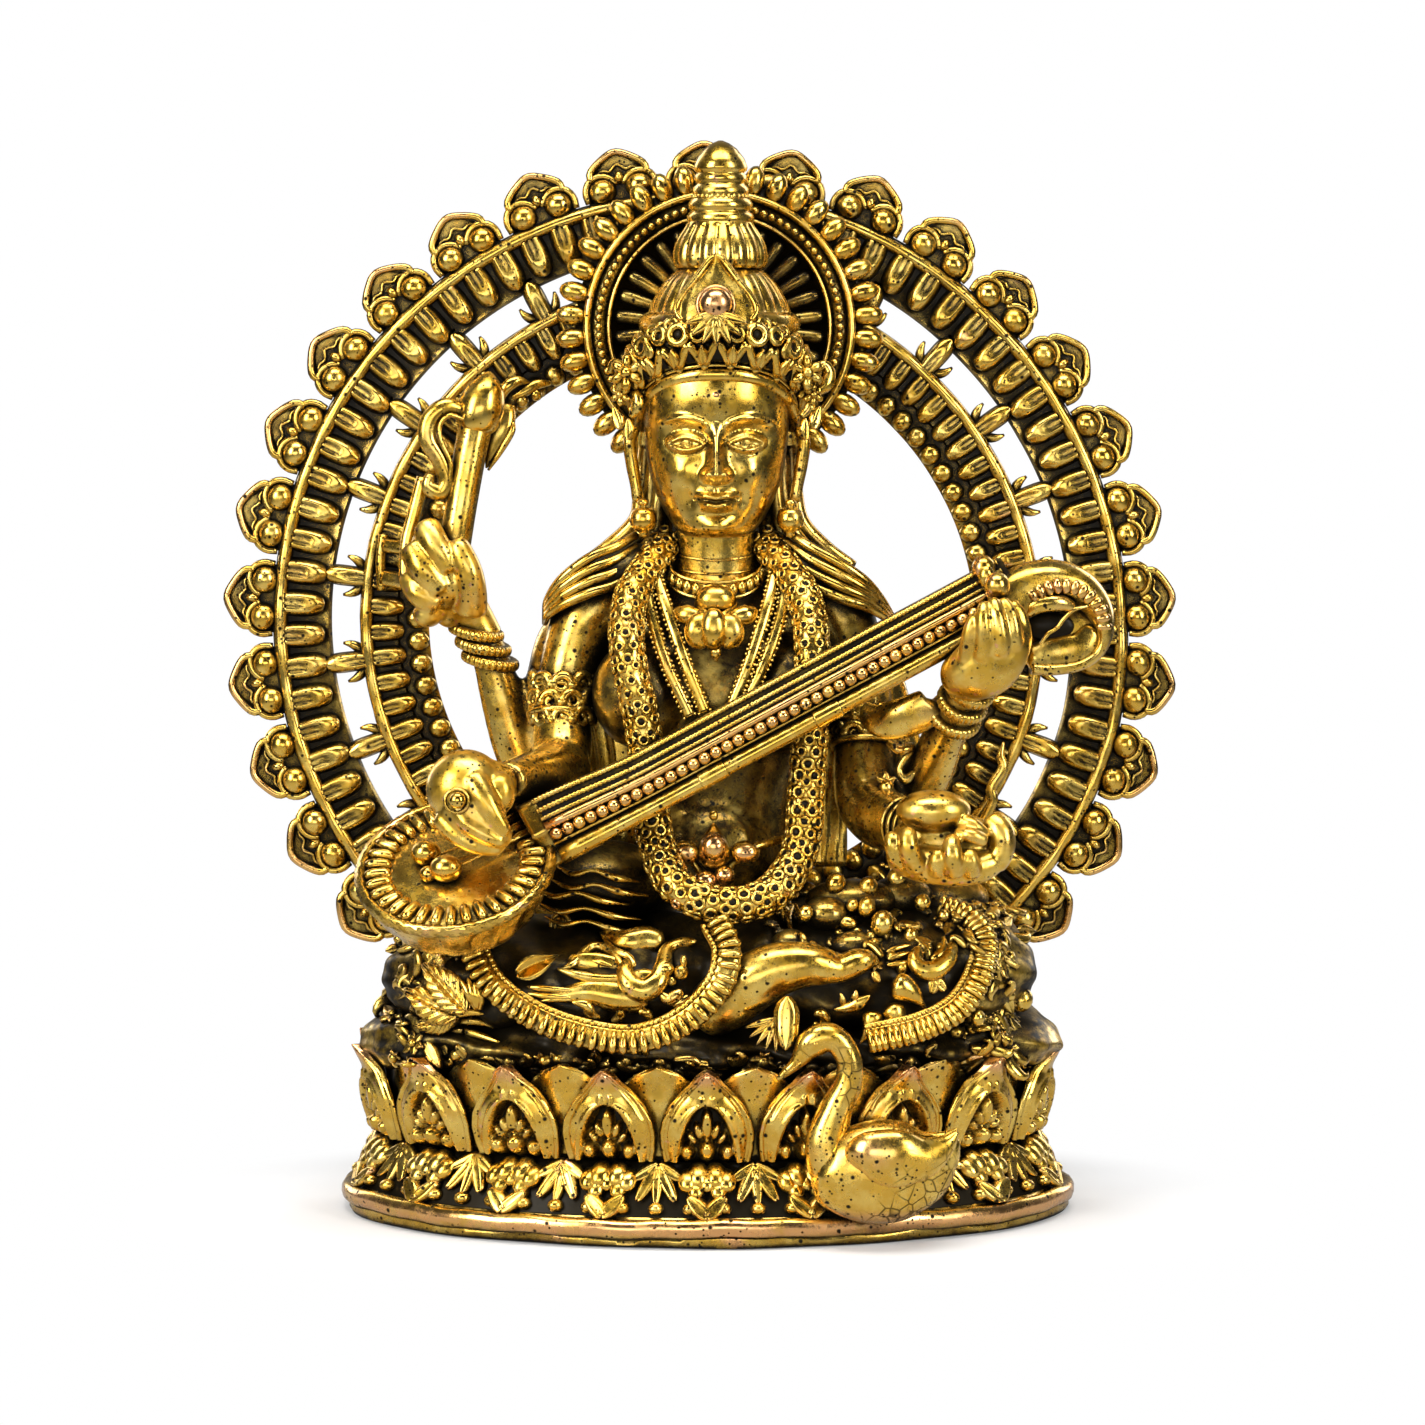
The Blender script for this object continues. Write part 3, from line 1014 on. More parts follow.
neck = tube([[MIDDLE, 1.0, 56.5, 5.0, 4.2], [MIDDLE, 0.9, 59.0, 4.3, 3.8], [MIDDLE, 0.7, 61.5, 4.05, 3.6],
             [MIDDLE, 0.4, 65.5, 4.1, 3.5]], sides=48, count=30)
folds = [tube([[MIDDLE + x, y, z + rise, wide] for x, y, rise, wide in (
    (-4.0, 0.4, 0.5, 0.1), (-2.9, -2.0, 0, 0.12), (0, -2.95, -0.25, 0.14), (2.9, -2.0, 0, 0.12),
    (4.0, 0.4, 0.5, 0.1))], sides=8, count=30) for z in (60.2, 61.5)]
make_piece("face", face, gilt_smooth, stands_for="seated_goddess")
bindi = ball((HEAD_X, -6.75, 76.6), (0.62, 0.4, 0.62), around=20, rows=12)
make_piece("neck", [neck, *folds], gilt_bright)
make_piece("bindi", bindi, gilt_rim, worn=lambda x, y, z: 0.9)

# %% [markdown]
# ## Crown
#
# Above the tiara sits a lathe-turned tower: a ribbed dome with a thick lower roll, a ribbed bulb, a
# stepped cone and an acorn tip. Ribs are a rounded wave in the radius that fades at both ends.

# %% Dome, bulb and tip


def ribs(count, depth, low, high):
    """Rounded ribs: depth * (|cos(count angle / 2)| - 1) for v from low to high."""
    def relief(angle, v):
        mask = smoothstep(low, low + 0.08, v) * smoothstep(high, high - 0.08, v)
        return depth * mask * (np.abs(np.cos(count * angle / 2)) ** 0.7 - 1)
    return relief


dome = spun([[5.9, 81.9], [6.9, 82.1], [7.45, 82.7], [7.5, 83.3], [7.2, 83.9], [6.75, 84.15], [6.55, 84.5],
             [6.1, 85.6], [5.2, 87.0], [4.0, 88.1], [3.0, 88.5]], around=300,
             relief=ribs(26, 0.03, 0.3, 0.98),
            centre=(1.15, 0.3, 0), rounded=90)
bulb = spun([[3.4, 88.1], [4.15, 88.3], [4.45, 88.9], [4.4, 89.9], [4.0, 91.0], [3.35, 92.0], [3.0, 92.6]],
            around=220, relief=ribs(17, 0.07, 0.08, 0.97), centre=(1.2, 0.3, 0), rounded=60)
tower = spun([[2.9, 92.3], [3.1, 92.6], [3.12, 93.1], [2.85, 93.4], [2.7, 93.5], [2.95, 93.7], [3.0, 94.2],
              [2.75, 94.6], [2.55, 94.75], [2.5, 94.9], [2.6, 95.1], [2.62, 95.5], [2.5, 95.8], [2.3, 95.95],
              [2.25, 96.1], [2.42, 96.3], [2.45, 96.8], [2.2, 97.0], [2.2, 97.1], [2.45, 97.3], [2.5, 97.6],
              [2.2, 98.4], [1.5, 99.3], [0.8, 99.8], [0.2, 100.05]], around=64, centre=(1.25, 0.3, 0))
notches = copies(ball((0, 0, 0), (0.2, 0.3, 0.2), around=6, rows=4),
                 np.stack([1.25 + 2.52 * np.cos(np.arange(30) * TURN / 30),
                           0.3 + 2.52 * np.sin(np.arange(30) * TURN / 30), np.full(30, 94.85)], axis=1),
                 (0, 0, 1), (0, -1, 0))
make_piece("crown_dome", [dome, bulb], gilt_petal)
make_piece("crown_tower", [tower, notches], gilt_petal)

# %% [markdown]
# The tiara is a leaning wall on a smooth band. Its openwork is built up in rows: pointed leaves on
# the band with dark gaps between them, rings with pearls, a shell of petals, a tall pointed leaf with
# a round jewel, and rosettes over the ears. Two numbers place each ornament: how far round the head
# it stands and how far up the wall.

# %% Tiara
TIARA_HALF = np.radians(88)


def on_tiara(u, v, out=0.0):
    """Point of the wall at u (-1 left ear to 1 right ear) and v (0 band to 1 top), and its normal."""
    u, v = np.broadcast_arrays(np.asarray(u, float), np.asarray(v, float))

    def place(u, v, out):
        angle = u * TIARA_HALF
        low = 79.0 - 4.3 * np.abs(u) ** 2.2
        high = 84.3 - 3.9 * np.abs(u) ** 1.5
        swell = 0.75 * np.sin(np.pi * np.clip(v, 0, 1)) ** 0.8
        across = 7.15 + 0.9 * v + swell + out - 0.5 * (1 - np.abs(u))
        deep = 6.5 + swell * 1.1 + 0.35 * v + out
        return np.stack([0.95 + across * np.sin(angle), -0.2 - deep * np.cos(angle), low + v * (high - low)],
                        axis=-1)

    here = place(u, v, out)
    along, up = place(u + 0.01, v, out) - here, place(u, v + 0.01, out) - here
    return here, unit(np.cross(along, up)), unit(up)


wall_u, wall_v = np.meshgrid(np.linspace(-1.1, 1.1, 90), np.linspace(-0.04, 1, 14))
front_wall = on_tiara(wall_u, wall_v, -0.25)[0]
back_wall = on_tiara(wall_u, wall_v, -1.5)[0]
ring_rows = np.concatenate([front_wall, back_wall[::-1]], axis=0).transpose(1, 0, 2)
wall = grid_form(capped(ring_rows))
band_u = np.linspace(-1.08, 1.08, 41)
band_line = on_tiara(band_u, -0.1, 0.05)[0]
band = even_tube(band_line, 0.62, 0.42, sides=14, count=120)
brim = even_tube(on_tiara(band_u, 0.06, 0.08)[0], 0.16, sides=6, count=120)
make_piece("tiara_wall", [wall, brim], gilt_bright)
make_piece("tiara_band", band, gilt_bright)


def set_on_tiara(form, u, v, out=0.0, scale=1.0):
    """Copies of form that stand upright on the tiara's face."""
    here, normal, up = on_tiara(u, v, out)
    return copies(form, here.reshape(-1, 3), up.reshape(-1, 3), normal.reshape(-1, 3), scale)


def ring_form(radius, thickness, around=12, sides=6, squash=1.0):
    """A small ring lying in the x, y plane."""
    turn = np.linspace(0, TURN, around, endpoint=False)[:, None]
    bend = np.linspace(0, TURN, sides, endpoint=False)[None, :]
    reach_out = radius + thickness * np.cos(bend)
    return grid_form(np.stack([reach_out * np.cos(turn), reach_out * np.sin(turn) * squash,
                               thickness * np.sin(bend) + 0 * turn], axis=-1), wrap_rows=True)


def scroll_form(radius, thickness, hand=1):
    """A little spiral that winds inwards and ends in a pearl."""
    t = np.linspace(0, 1, 14)
    a = TURN * 1.35 * t
    r = radius * (1 - 0.72 * t)
    path = np.stack([hand * r * np.cos(a), r * np.sin(a), 0 * a, thickness * (1 - 0.35 * t)], axis=1)
    return tube(path, sides=6, count=16, side=(0, 0, 1))


small_pearl = ball((0, 0, 0), (0.3, 0.3, 0.28), around=8, rows=5)


def gap(length, half):
    """A dark triangle with its point up: a thin pillow that lies a little proud of the wall."""
    return pillow(lambda v: half * (1.02 - v), length, lambda u, v: 0.12, plain_back, rows=6, across=5)


gap_u = np.linspace(-0.88, 0.88, 9)
gap_size = np.array([0.5, 0.55, 0.5, 0.58, 0.95, 0.58, 0.5, 0.55, 0.5])
corner_u = np.linspace(-0.99, 0.99, 10)
ring_u = np.array([-0.8, -0.62, -0.45, -0.29, -0.14, 0.14, 0.29, 0.45, 0.62, 0.8])
ring_up = np.array([0.74, 0.7, 0.76, 0.68, 0.62, 0.62, 0.68, 0.76, 0.7, 0.74])
ring_wide = np.array([0.9, 1.15, 0.95, 1.2, 0.85, 0.85, 1.2, 0.95, 1.15, 0.9])
tiara_gaps = [
    set_on_tiara(gap(2.2, 0.85), gap_u, 0.14, 0.16, gap_size),
    set_on_tiara(moved(gap(1.0, 0.42), 0, (1, -1, -1)), corner_u, 0.5, 0.12, 0.8),
    set_on_tiara(ball((0, 0, 0), (0.42, 0.42, 0.2), around=10, rows=5), ring_u, ring_up, 0.25, ring_wide),
    set_on_tiara(ball((0, 0, 0), (0.3, 0.26, 0.15), around=8, rows=4), ring_u + 0.07, ring_up - 0.2, 0.2),
    set_on_tiara(ball((0, 0, 0), (0.24, 0.36, 0.15), around=8, rows=4), ring_u - 0.07, ring_up + 0.17, 0.2),
]
make_piece("tiara_gaps", tiara_gaps, gilt_black)
zigzag_u = np.ravel(np.stack([corner_u[:-1], gap_u], axis=1))
zigzag_v = np.tile([0.1, 0.5], 9)
zigzag = on_tiara(np.append(zigzag_u, 0.99), np.append(zigzag_v, 0.1), 0.12)[0]
edges = [even_tube(np.linspace(a, b, 4), 0.5, sides=8, count=6)
         for a, b in zip(zigzag[:-1], zigzag[1:])]
tiara_parts = [
    *edges,
    set_on_tiara(small_pearl, corner_u, 0.06, 0.1, 1.4),
    set_on_tiara(leaf_shape(1.9, 0.55, 0.75), corner_u, 0.14, 0.2, 0.95),
    set_on_tiara(ring_form(0.7, 0.33, 16, 8), ring_u, ring_up, 0.3, ring_wide),
    set_on_tiara(scroll_form(0.75, 0.34), [-0.9, -0.7, -0.53, -0.36], 0.88, 0.25),
    set_on_tiara(scroll_form(0.75, 0.34, hand=-1), [0.9, 0.7, 0.53, 0.36], 0.88, 0.25),
    set_on_tiara(leaf_shape(1.7, 0.6, 0.5), [-0.97, -0.72, -0.54, 0.54, 0.72, 0.97], 0.42, 0.15),
    set_on_tiara(small_pearl, np.linspace(-0.95, 0.95, 17), 1.0, 0.05, 1.1),
]
shell = [turned(leaf_shape(2.9, 0.62, 0.8), turn) for turn in (-74, -50, -25, 0, 25, 50, 74)]
shell = mirrored(joined(shell), (1, -1, 1))
tiara_parts.append(copies(shell, (0.85, -8.2, 83.9), (0, -0.2, 1), (0, -1, 0.1)))
peak_leaf = pillow(lambda v: np.interp(v, [0, 0.2, 0.42, 0.65, 0.85, 1], [2.8, 3.7, 3.5, 2.4, 1.1, 0.05]),
                   7.6, lambda u, v: 0.75 * (1 - u * u) + 0.2 * np.exp(-((np.abs(u) - 0.9) / 0.07) ** 2),
                   lambda u, v: -0.8, rows=34, across=31)
peak_outline = [[-3.1, 1.4, 0.1], [-3.7, 2.4, 0.1], [-3.3, 3.6, 0.15], [-2.0, 5.3, 0.3], [0, 7.5, 0.4],
                [2.0, 5.3, 0.3], [3.3, 3.6, 0.15], [3.7, 2.4, 0.1], [3.1, 1.4, 0.1]]
peak_edge = even_tube(peak_outline, 0.3, sides=8, count=50, side=(0, 0, 1))
tiara_parts += [copies(form, (0.85, -7.4, 82.0), (0, 0.34, 1), (0, -1, 0.34))
                for form in (peak_leaf, peak_edge)]
make_piece("tiara_work", tiara_parts, gilt_bright)
jewel = [ball((0.8, -8.1, 84.9), (1.5, 1.2, 1.45), around=28, rows=18),
         copies(ring_form(1.65, 0.22, 24), (0.8, -7.5, 84.8), (0, 0.1, 1), (0, -1, 0.1))]
make_piece("tiara_jewel", jewel, gilt_rim, worn=lambda x, y, z: 0.9)

# Rosettes and leaves over the ears, the long ears themselves and their drops.
petal = ball((0, 0.85, 0.1), (0.42, 0.7, 0.4), around=8, rows=6)
rosette = joined([ball((0, 0, 0.3), (0.5, 0.5, 0.45), around=10, rows=7),
                  *[turned(petal, k * 60) for k in range(6)]])
loop_leaf = tube([[0, -1.2, 0, 0.4, 0.4], [0.8, -0.3, 0.3, 0.7, 0.5], [0.9, 0.8, 0.3, 0.6, 0.5],
                  [0.2, 1.4, 0.2, 0.5, 0.4], [-0.4, 0.7, 0.1, 0.3, 0.3]], sides=12, count=24, side=(0, 0, 1))
side_parts = []
for side, ear_x in ((-1, -7.3), (1, 9.1)):
    for form, beside, y, z, lean, look, rise, size in (
            (rosette, 0.1, -3.6, 78.6, 0, 0.35, 0.1, 1.15), (rosette, 0.7, -2.8, 76.6, 0, 0.5, 0, 0.75),
            (loop_leaf, 1.2, -2.2, 78.0, 0.3, 0.6, 0.1, 1.0),
            (loop_leaf, -0.3, -2.6, 75.6, 0.1, 0.6, 0.1, 0.9),
            (leaf_shape(2.2, 0.7, 0.7), 0.6, -2.6, 73.4, 0.3, 0.5, 0, 1.0),
            (leaf_shape(2.0, 0.6, 0.6), -0.1, -2.6, 72.4, -0.1, 0.6, 0, 1.0)):
        side_parts.append(copies(form, (ear_x + beside * side, y, z), (lean * side, 0, 1),
                                 (look * side, -1, rise), size))
    side_parts.append(tube([[ear_x - inset * side, -0.9, z, wide, deep] for inset, z, wide, deep in (
        (0.9, 73.6, 0.5, 0.5), (0.1, 72.4, 0.6, 0.6), (0.3, 70.2, 0.6, 0.5), (0.7, 68.0, 0.55, 0.5),
        (0.9, 66.4, 0.6, 0.5))], count=30, rounded=0.1))
    drop = spun([[0.1, 3.0], [0.5, 2.8], [0.6, 2.45], [0.3, 2.2], [1.0, 1.9], [1.35, 1.3], [1.35, 0.5],
                 [1.0, -0.1], [0.45, -0.4], [0.5, -0.7], [0.1, -1.0]], around=24, rounded=26)
    side_parts.append(moved(drop, (ear_x - side * 1.35, -2.4, 64.2), 0.92))
make_piece("ear_ornaments", side_parts, gilt_bright)

# %% [markdown]
# ## Nimbus
#
# The small nimbus behind the head is a dark recessed disc with radial bars, a beaded ring with two
# rails, and a crown of forty oval pearls that lie like rays.

# %% Nimbus
NIMBUS = np.array([1.15, 6.2, 82.85])
NIMBUS_BARS, NIMBUS_BEADS, NIMBUS_PEARLS = 30, 84, 40


def on_nimbus(angle, radius, forward=0.0):
    """Points round the nimbus's centre, forward of its plane."""
    return np.stack(np.broadcast_arrays(NIMBUS[0] + radius * np.sin(angle), NIMBUS[1] - forward,
                                        NIMBUS[2] + radius * np.cos(angle)), axis=-1)


def round_nimbus(form, count, start=0.0):
    """Copies set down at the nimbus's middle, each with its y pointing another way outwards."""
    angle = start + np.arange(count) * TURN / count
    outwards = np.stack([np.sin(angle), 0 * angle, np.cos(angle)], axis=1)
    return copies(form, on_nimbus(angle, 0.0), outwards, (0, -1, 0))


def nimbus_ring(profile):
    """A closed profile of [radius, forward] carried once round the nimbus."""
    return carried_round(on_nimbus, profile, 150)


def nimbus_rail(radius, forward, wide, thick, sides):
    """A rail with an elliptical profile round the nimbus."""
    return nimbus_ring([[radius + wide * np.cos(a), forward + thick * np.sin(a)]
                        for a in np.linspace(0, TURN, sides + 1)[:-1]])


disc = nimbus_ring([[0.1, -1.2], [0.1, -0.6], [10.2, -0.6], [10.3, 0.1], [12.4, 0.1], [12.9, -0.5],
                    [13.6, -0.7], [13.5, -1.4]])
rim = nimbus_rail(12.5, 0.3, 0.4, 0.55, 9)
inner_rim = nimbus_rail(10.45, 0.25, 0.24, 0.45, 7)
bead_ground = nimbus_ring([[10.6, -0.2], [10.6, 0.16], [12.3, 0.16], [12.3, -0.2]])
make_piece("nimbus_disc", disc, gilt_dark)
make_piece("nimbus_rims", [rim, inner_rim, bead_ground], gilt_relief)
bar = tube([[0, 5.6, -0.5, 0.5, 0.6], [0, 8.0, -0.5, 0.66, 0.7], [0, 10.3, -0.5, 0.62, 0.6]],
           sides=12, count=8, side=(0, 0, 1), rounded=0.1)
oval = ball((0, 13.95, -0.25), (1.0, 1.6, 1.05), around=16, rows=14)
make_piece("nimbus_bars", round_nimbus(bar, NIMBUS_BARS), gilt_cloth)
nimbus_bead = ball((0, 11.4, 0.5), (0.4, 0.4, 0.45), around=10, rows=7)
make_piece("nimbus_beads", round_nimbus(nimbus_bead, NIMBUS_BEADS), gilt_bright)
make_piece("nimbus_pearls", round_nimbus(oval, NIMBUS_PEARLS, start=0.5 * TURN / NIMBUS_PEARLS), gilt_petal)

# %% [markdown]
# ## Veena
#
# The veena's neck is a moulding: one profile of rails and grooves carried from the gourd to the
# scroll. Three thin rails are milled like a coin's edge, one row is made of coppery beads, and the
# lowest rail is a wide half round with step-shaped clamps.

# %% The neck of the veena
NECK_LOW = np.array([-15, -14.6, 36.4])
NECK_HIGH = np.array([27.6, -11.2, 59.1])
neck_along = unit(NECK_HIGH - NECK_LOW)
neck_out = unit(np.array([0, -1, 0]) - neck_along * -neck_along[1])
neck_down = np.cross(neck_along, neck_out)
neck_down = neck_down * -np.sign(neck_down[2])
NECK_LENGTH = float(np.linalg.norm(NECK_HIGH - NECK_LOW))
NECK_TOP = -2.95
NECK_START = 0.9
MILL_PITCH = 0.42


def on_neck(along, down, out):
    """Point at a distance along the neck, down from its upper edge, and out of its face.

    The neck widens upwards by a seventh over its last centimetre before the gourd.
    """
    along, down, out = np.broadcast_arrays(*(np.asarray(a, float)[..., None] for a in (along, down, out)))
    down = 5.9 - (5.9 - down) * (1 + 0.14 * smoothstep(12, 0, along))
    return NECK_LOW + neck_along * along + neck_down * (down + NECK_TOP) + neck_out * out


def neck_rail(down, out, radius, thick=None, start=NECK_START, end=None, mill=0.0, sides=10):
    """A rail along the neck; with mill, its radius waves like a milled edge."""
    end = NECK_LENGTH if end is None else end
    count = int((end - start) / MILL_PITCH) * 4 if mill else 24
    along = np.linspace(start, end, count)
    angle = np.linspace(0, TURN, sides, endpoint=False)
    wave = 1 + mill * (np.cos(TURN * along / MILL_PITCH) - 1)
    ring_down = down + radius * np.cos(angle)[None, :] * wave[:, None]
    ring_out = out + (thick or radius) * np.sin(angle)[None, :] * wave[:, None]
    return grid_form(capped(on_neck(along[:, None] + 0 * ring_down, ring_down, ring_out)))


core_profile = np.array([[0.1, -2.6], [0.0, 0.2], [0.5, 0.45], [2.4, 0.5], [2.75, 0.9], [3.0, 0.45],
                         [3.9, 0.4], [4.3, 0.1], [5.4, 0.0], [5.7, -0.6], [5.2, -2.2], [4.0, -3.2],
                         [1.6, -3.4]])
core_along = np.linspace(NECK_START, NECK_LENGTH + 0.5, 30)[:, None]
core = grid_form(capped(on_neck(core_along, core_profile[None, :, 0], core_profile[None, :, 1])))
collar_along = np.linspace(NECK_START - 1.5, NECK_START + 0.3, 6)[:, None]
collar = grid_form(capped(on_neck(collar_along, core_profile[None, :, 0], core_profile[None, :, 1] + 0.06)))
flat_band = neck_rail(2.42, 0.62, 0.42, 0.5)
bead_count = int(NECK_LENGTH / 1.16)
bead_along = np.linspace(NECK_START + 0.6, NECK_LENGTH - 0.6, bead_count)
neck_beads = copies(ball((0, 0, 0), (0.62, 0.6, 0.58), around=14, rows=9),
                    on_neck(bead_along, 3.28 + 0 * bead_along, 0.75 + 0 * bead_along), neck_down, neck_out)
lower_rail = neck_rail(5.05, 0.1, 0.78, 0.95, sides=18)
clamps = [neck_rail(5.05, 0.12, 0.9, 1.06, start=start, end=start + 2.6, sides=18) for start in (15.2, 27.0)]
make_piece("veena_core", core, gilt_dark, sharp=40)
make_piece("veena_rails", [neck_rail(0.2, 0.5, 0.27, mill=0.16), neck_rail(1.05, 0.6, 0.27, mill=0.16),
                           neck_rail(1.75, 0.7, 0.2, mill=0.1), neck_rail(3.98, 0.62, 0.14),
                           lower_rail, *clamps, collar], gilt_relief)
make_piece("veena_beads", [neck_beads, flat_band], gilt_rim, worn=lambda x, y, z: 0.45)

# %% [markdown]
# The gourd is a bowl under a round plate that is tipped towards the viewer. The plate is made in the
# plate's own frame and then turned: a braided rim, about three dozen rounded studs, a recessed
# speckled ground, two knobs that hold the strings, and oval facets hammered into the bowl.

# %% The gourd
GOURD = np.array([-22.75, -15.4, 34.1])
gourd_normal = unit([-0.10, -0.56, 0.82])
gourd_x = unit(np.array([1, 0, 0.0]) - gourd_normal * gourd_normal[0])
gourd_y = np.cross(gourd_normal, gourd_x)


def on_gourd(form):
    """Turns a form from the plate's frame (z along the plate's normal) into place."""
    return form[0] @ np.stack([gourd_x, gourd_y, gourd_normal]) + GOURD, form[1]


def facets(angle, v):
    """Shallow oval facets round the bowl: flattened spots where the cosine of the angle peaks."""
    spot = np.cos(5.5 * angle + 0.6) ** 2
    return -0.035 * smoothstep(0.55, 0.9, spot) * smoothstep(0.25, 0.5, v) * smoothstep(0.93, 0.8, v)


bowl = spun([[0.2, -7.6], [2.5, -7.3], [5.0, -6.2], [7.0, -4.4], [8.2, -2.2], [8.65, -0.7], [8.7, 0.0],
             [8.2, 0.2]],
            around=120, rounded=50, relief=facets)
plate = spun([[8.3, -0.3], [8.3, 0.1], [5.9, 0.15], [5.7, -0.25], [5.2, -0.3], [0.1, -0.2]], around=64)


def braid(angle, v):
    """Fine slanting waves along a rail."""
    return 0.012 * np.sin(26 * angle + 40 * v)


plate_rim = spun([[8.1, 0.15], [8.35, 0.5], [8.75, 0.6], [9.1, 0.35], [9.15, -0.1], [8.9, -0.45],
                  [8.5, -0.5]],
                 around=180, rounded=16, relief=braid)
STUD_COUNT = 34
stud_turn = (np.arange(STUD_COUNT) + 0.5) * TURN / STUD_COUNT
stud_out = np.stack([np.cos(stud_turn), np.sin(stud_turn), 0 * stud_turn], axis=1)
gourd_stud = tube([[0, 0, 0.15, 0.42, 0.5], [0, 0.7, 0.3, 0.52, 0.7], [0, 1.9, 0.3, 0.5, 0.72],
                   [0, 2.6, 0.15, 0.46, 0.55]], sides=12, count=10, side=(0, 0, 1), rounded=0.2)
studs = copies(gourd_stud, stud_out * 5.75, stud_out, (0, 0, 1))
make_piece("gourd_bowl", on_gourd(bowl), gilt_smooth)
make_piece("gourd_rim", on_gourd(plate_rim), gilt_rim)
make_piece("gourd_plate", on_gourd(plate), gilt_cloth)
make_piece("gourd_studs", on_gourd(studs), gilt_bright)
knobs = [ball((-2.6, 0.9, 1.2), (1.35, 1.2, 1.2), around=28, rows=18),
         ball((-0.6, -1.7, 1.4), (1.5, 1.25, 1.3), around=28, rows=18),
         ball((-2.3, -1.5, 0.7), (0.85, 0.8, 0.8), around=14, rows=8),
         tube([[0.2, -1.0, 0.9, 0.16], [2.8, 0.6, 0.9, 0.16], [7.2, 3.2, 0.9, 0.16]], sides=8),
         tube([[-1.8, 0.9, 0.8, 0.14], [2.0, 2.4, 0.9, 0.14], [6.2, 4.4, 0.9, 0.14]], sides=8)]
make_piece("gourd_knobs", [on_gourd(knob) for knob in knobs], gilt_bright)

# %% [markdown]
# At its upper end the neck turns into a curled head like a shell: a thick roll makes the crown and
# thins out round a hollow bowl. Coppery ribs line the crown's inner edge, a second roll closes the
# hollow above, and two ball pegs stand beside it.

# %% Scroll head and pegs
crown_roll = tube([[26.7, -11.2, 57, 2.4, 1.9], [28.7, -10.6, 59.1, 2.1, 2.0], [31.3, -9.8, 59.8, 1.9, 2.2],
                   [33.9, -9.4, 59.1, 1.7, 2.2], [35.7, -9.2, 57.2, 1.35, 2.0], [36.3, -9.2, 55, 0.9, 1.7],
                   [35.7, -9.4, 53.2, 0.65, 1.3], [34.1, -9.8, 52.1, 0.6, 1.1], [31.7, -10.2, 51.7, 0.6, 1.0],
                   [29.6, -10.6, 51.8, 0.6, 0.9]], sides=40, count=140)
shell_bowl = ball((32.7, -8.6, 54.8), (4.0, 1.6, 3.3), around=48, rows=28)
shell_pit = ball((31.3, -10.0, 55.5), (2.3, 0.5, 1.35), around=28, rows=16)
shell_lip = tube([[29.1, -10.4, 52.5, 1.1, 0.9], [31.3, -10.0, 52.9, 1.7, 0.9], [33.9, -9.8, 53.6, 1.7, 0.9],
                  [35.4, -9.4, 55.6, 1.1, 0.8]], sides=24, count=40, rounded=0.1)
inner_roll = tube([[28.7, -11.2, 57, 0.8], [30.3, -11.6, 57.7, 0.85], [32.1, -11.4, 57.8, 0.8],
                   [33.6, -11.0, 57.3, 0.4]], sides=18, count=40, rounded=0.1)
thread = tube([[34.7, -11.0, 57.5, 0.18], [33.4, -11.4, 57.2, 0.2], [32.5, -11.4, 56.4, 0.2],
               [31.8, -11.4, 55.5, 0.2], [31, -11.6, 55, 0.2], [30.3, -11.6, 54, 0.15]], sides=8, count=40)
arc = smooth_curve([[29.5, -12.2, 58.6], [31.3, -12.0, 59.3], [33.1, -11.7, 59.3], [34.6, -11.4, 58.5],
                    [35.8, -11.0, 57.2], [36.2, -10.6, 55.6]], 12)
arc_out = unit(arc - np.array([32.2, -10.4, 55.5]))
ribs_of_crown = copies(ball((0, 0, 0), (0.48, 0.75, 0.42), around=14, rows=10), arc, arc_out, (0, -1, 0))
make_piece("scroll_head", [crown_roll, shell_bowl, shell_lip], gilt_smooth)
make_piece("scroll_hollow", shell_pit, gilt_black)
make_piece("scroll_lip", [inner_roll, thread], gilt_petal)
make_piece("scroll_ribs", ribs_of_crown, gilt_rim, worn=lambda x, y, z: 0.4)
pegs = [ball((26.2, -13.6, 59.5), (1.2, 1.2, 1.25), around=20, rows=14),
        ball((25.1, -11.8, 61), (1.1, 1.1, 1.15), around=20, rows=14),
        ball((25.3, -12.4, 60.3), (0.8, 0.8, 1.1), around=14, rows=10),
        tube([[26.2, -13, 58.2, 0.8, 0.8], [25.7, -12, 60.5, 0.75, 0.75]], sides=12)]
make_piece("pegs", pegs, gilt_rim)

# %% [markdown]
# ## The body
#
# Skin should flow from one limb into the next, as in a wax model. Limbs are laid out as tubes and
# balls that reach into each other, and a remesh modifier melts them into one skin, which is then
# smoothed. Hard pieces such as bangles stay separate meshes on top.

# %% Melted skin


HAND_VOXEL = 0.17


def melted(piece, voxel, smoothing):
    """Adds a voxel remesh (voxel in millimetres) and a smoothing modifier to a piece."""
    remesh = piece.modifiers.new("melt", "REMESH")
    remesh.mode = "VOXEL"
    remesh.voxel_size = voxel * MM
    remesh.use_smooth_shade = True
    soften = piece.modifiers.new("soften", "SMOOTH")
    soften.factor = 0.6
    soften.iterations = smoothing


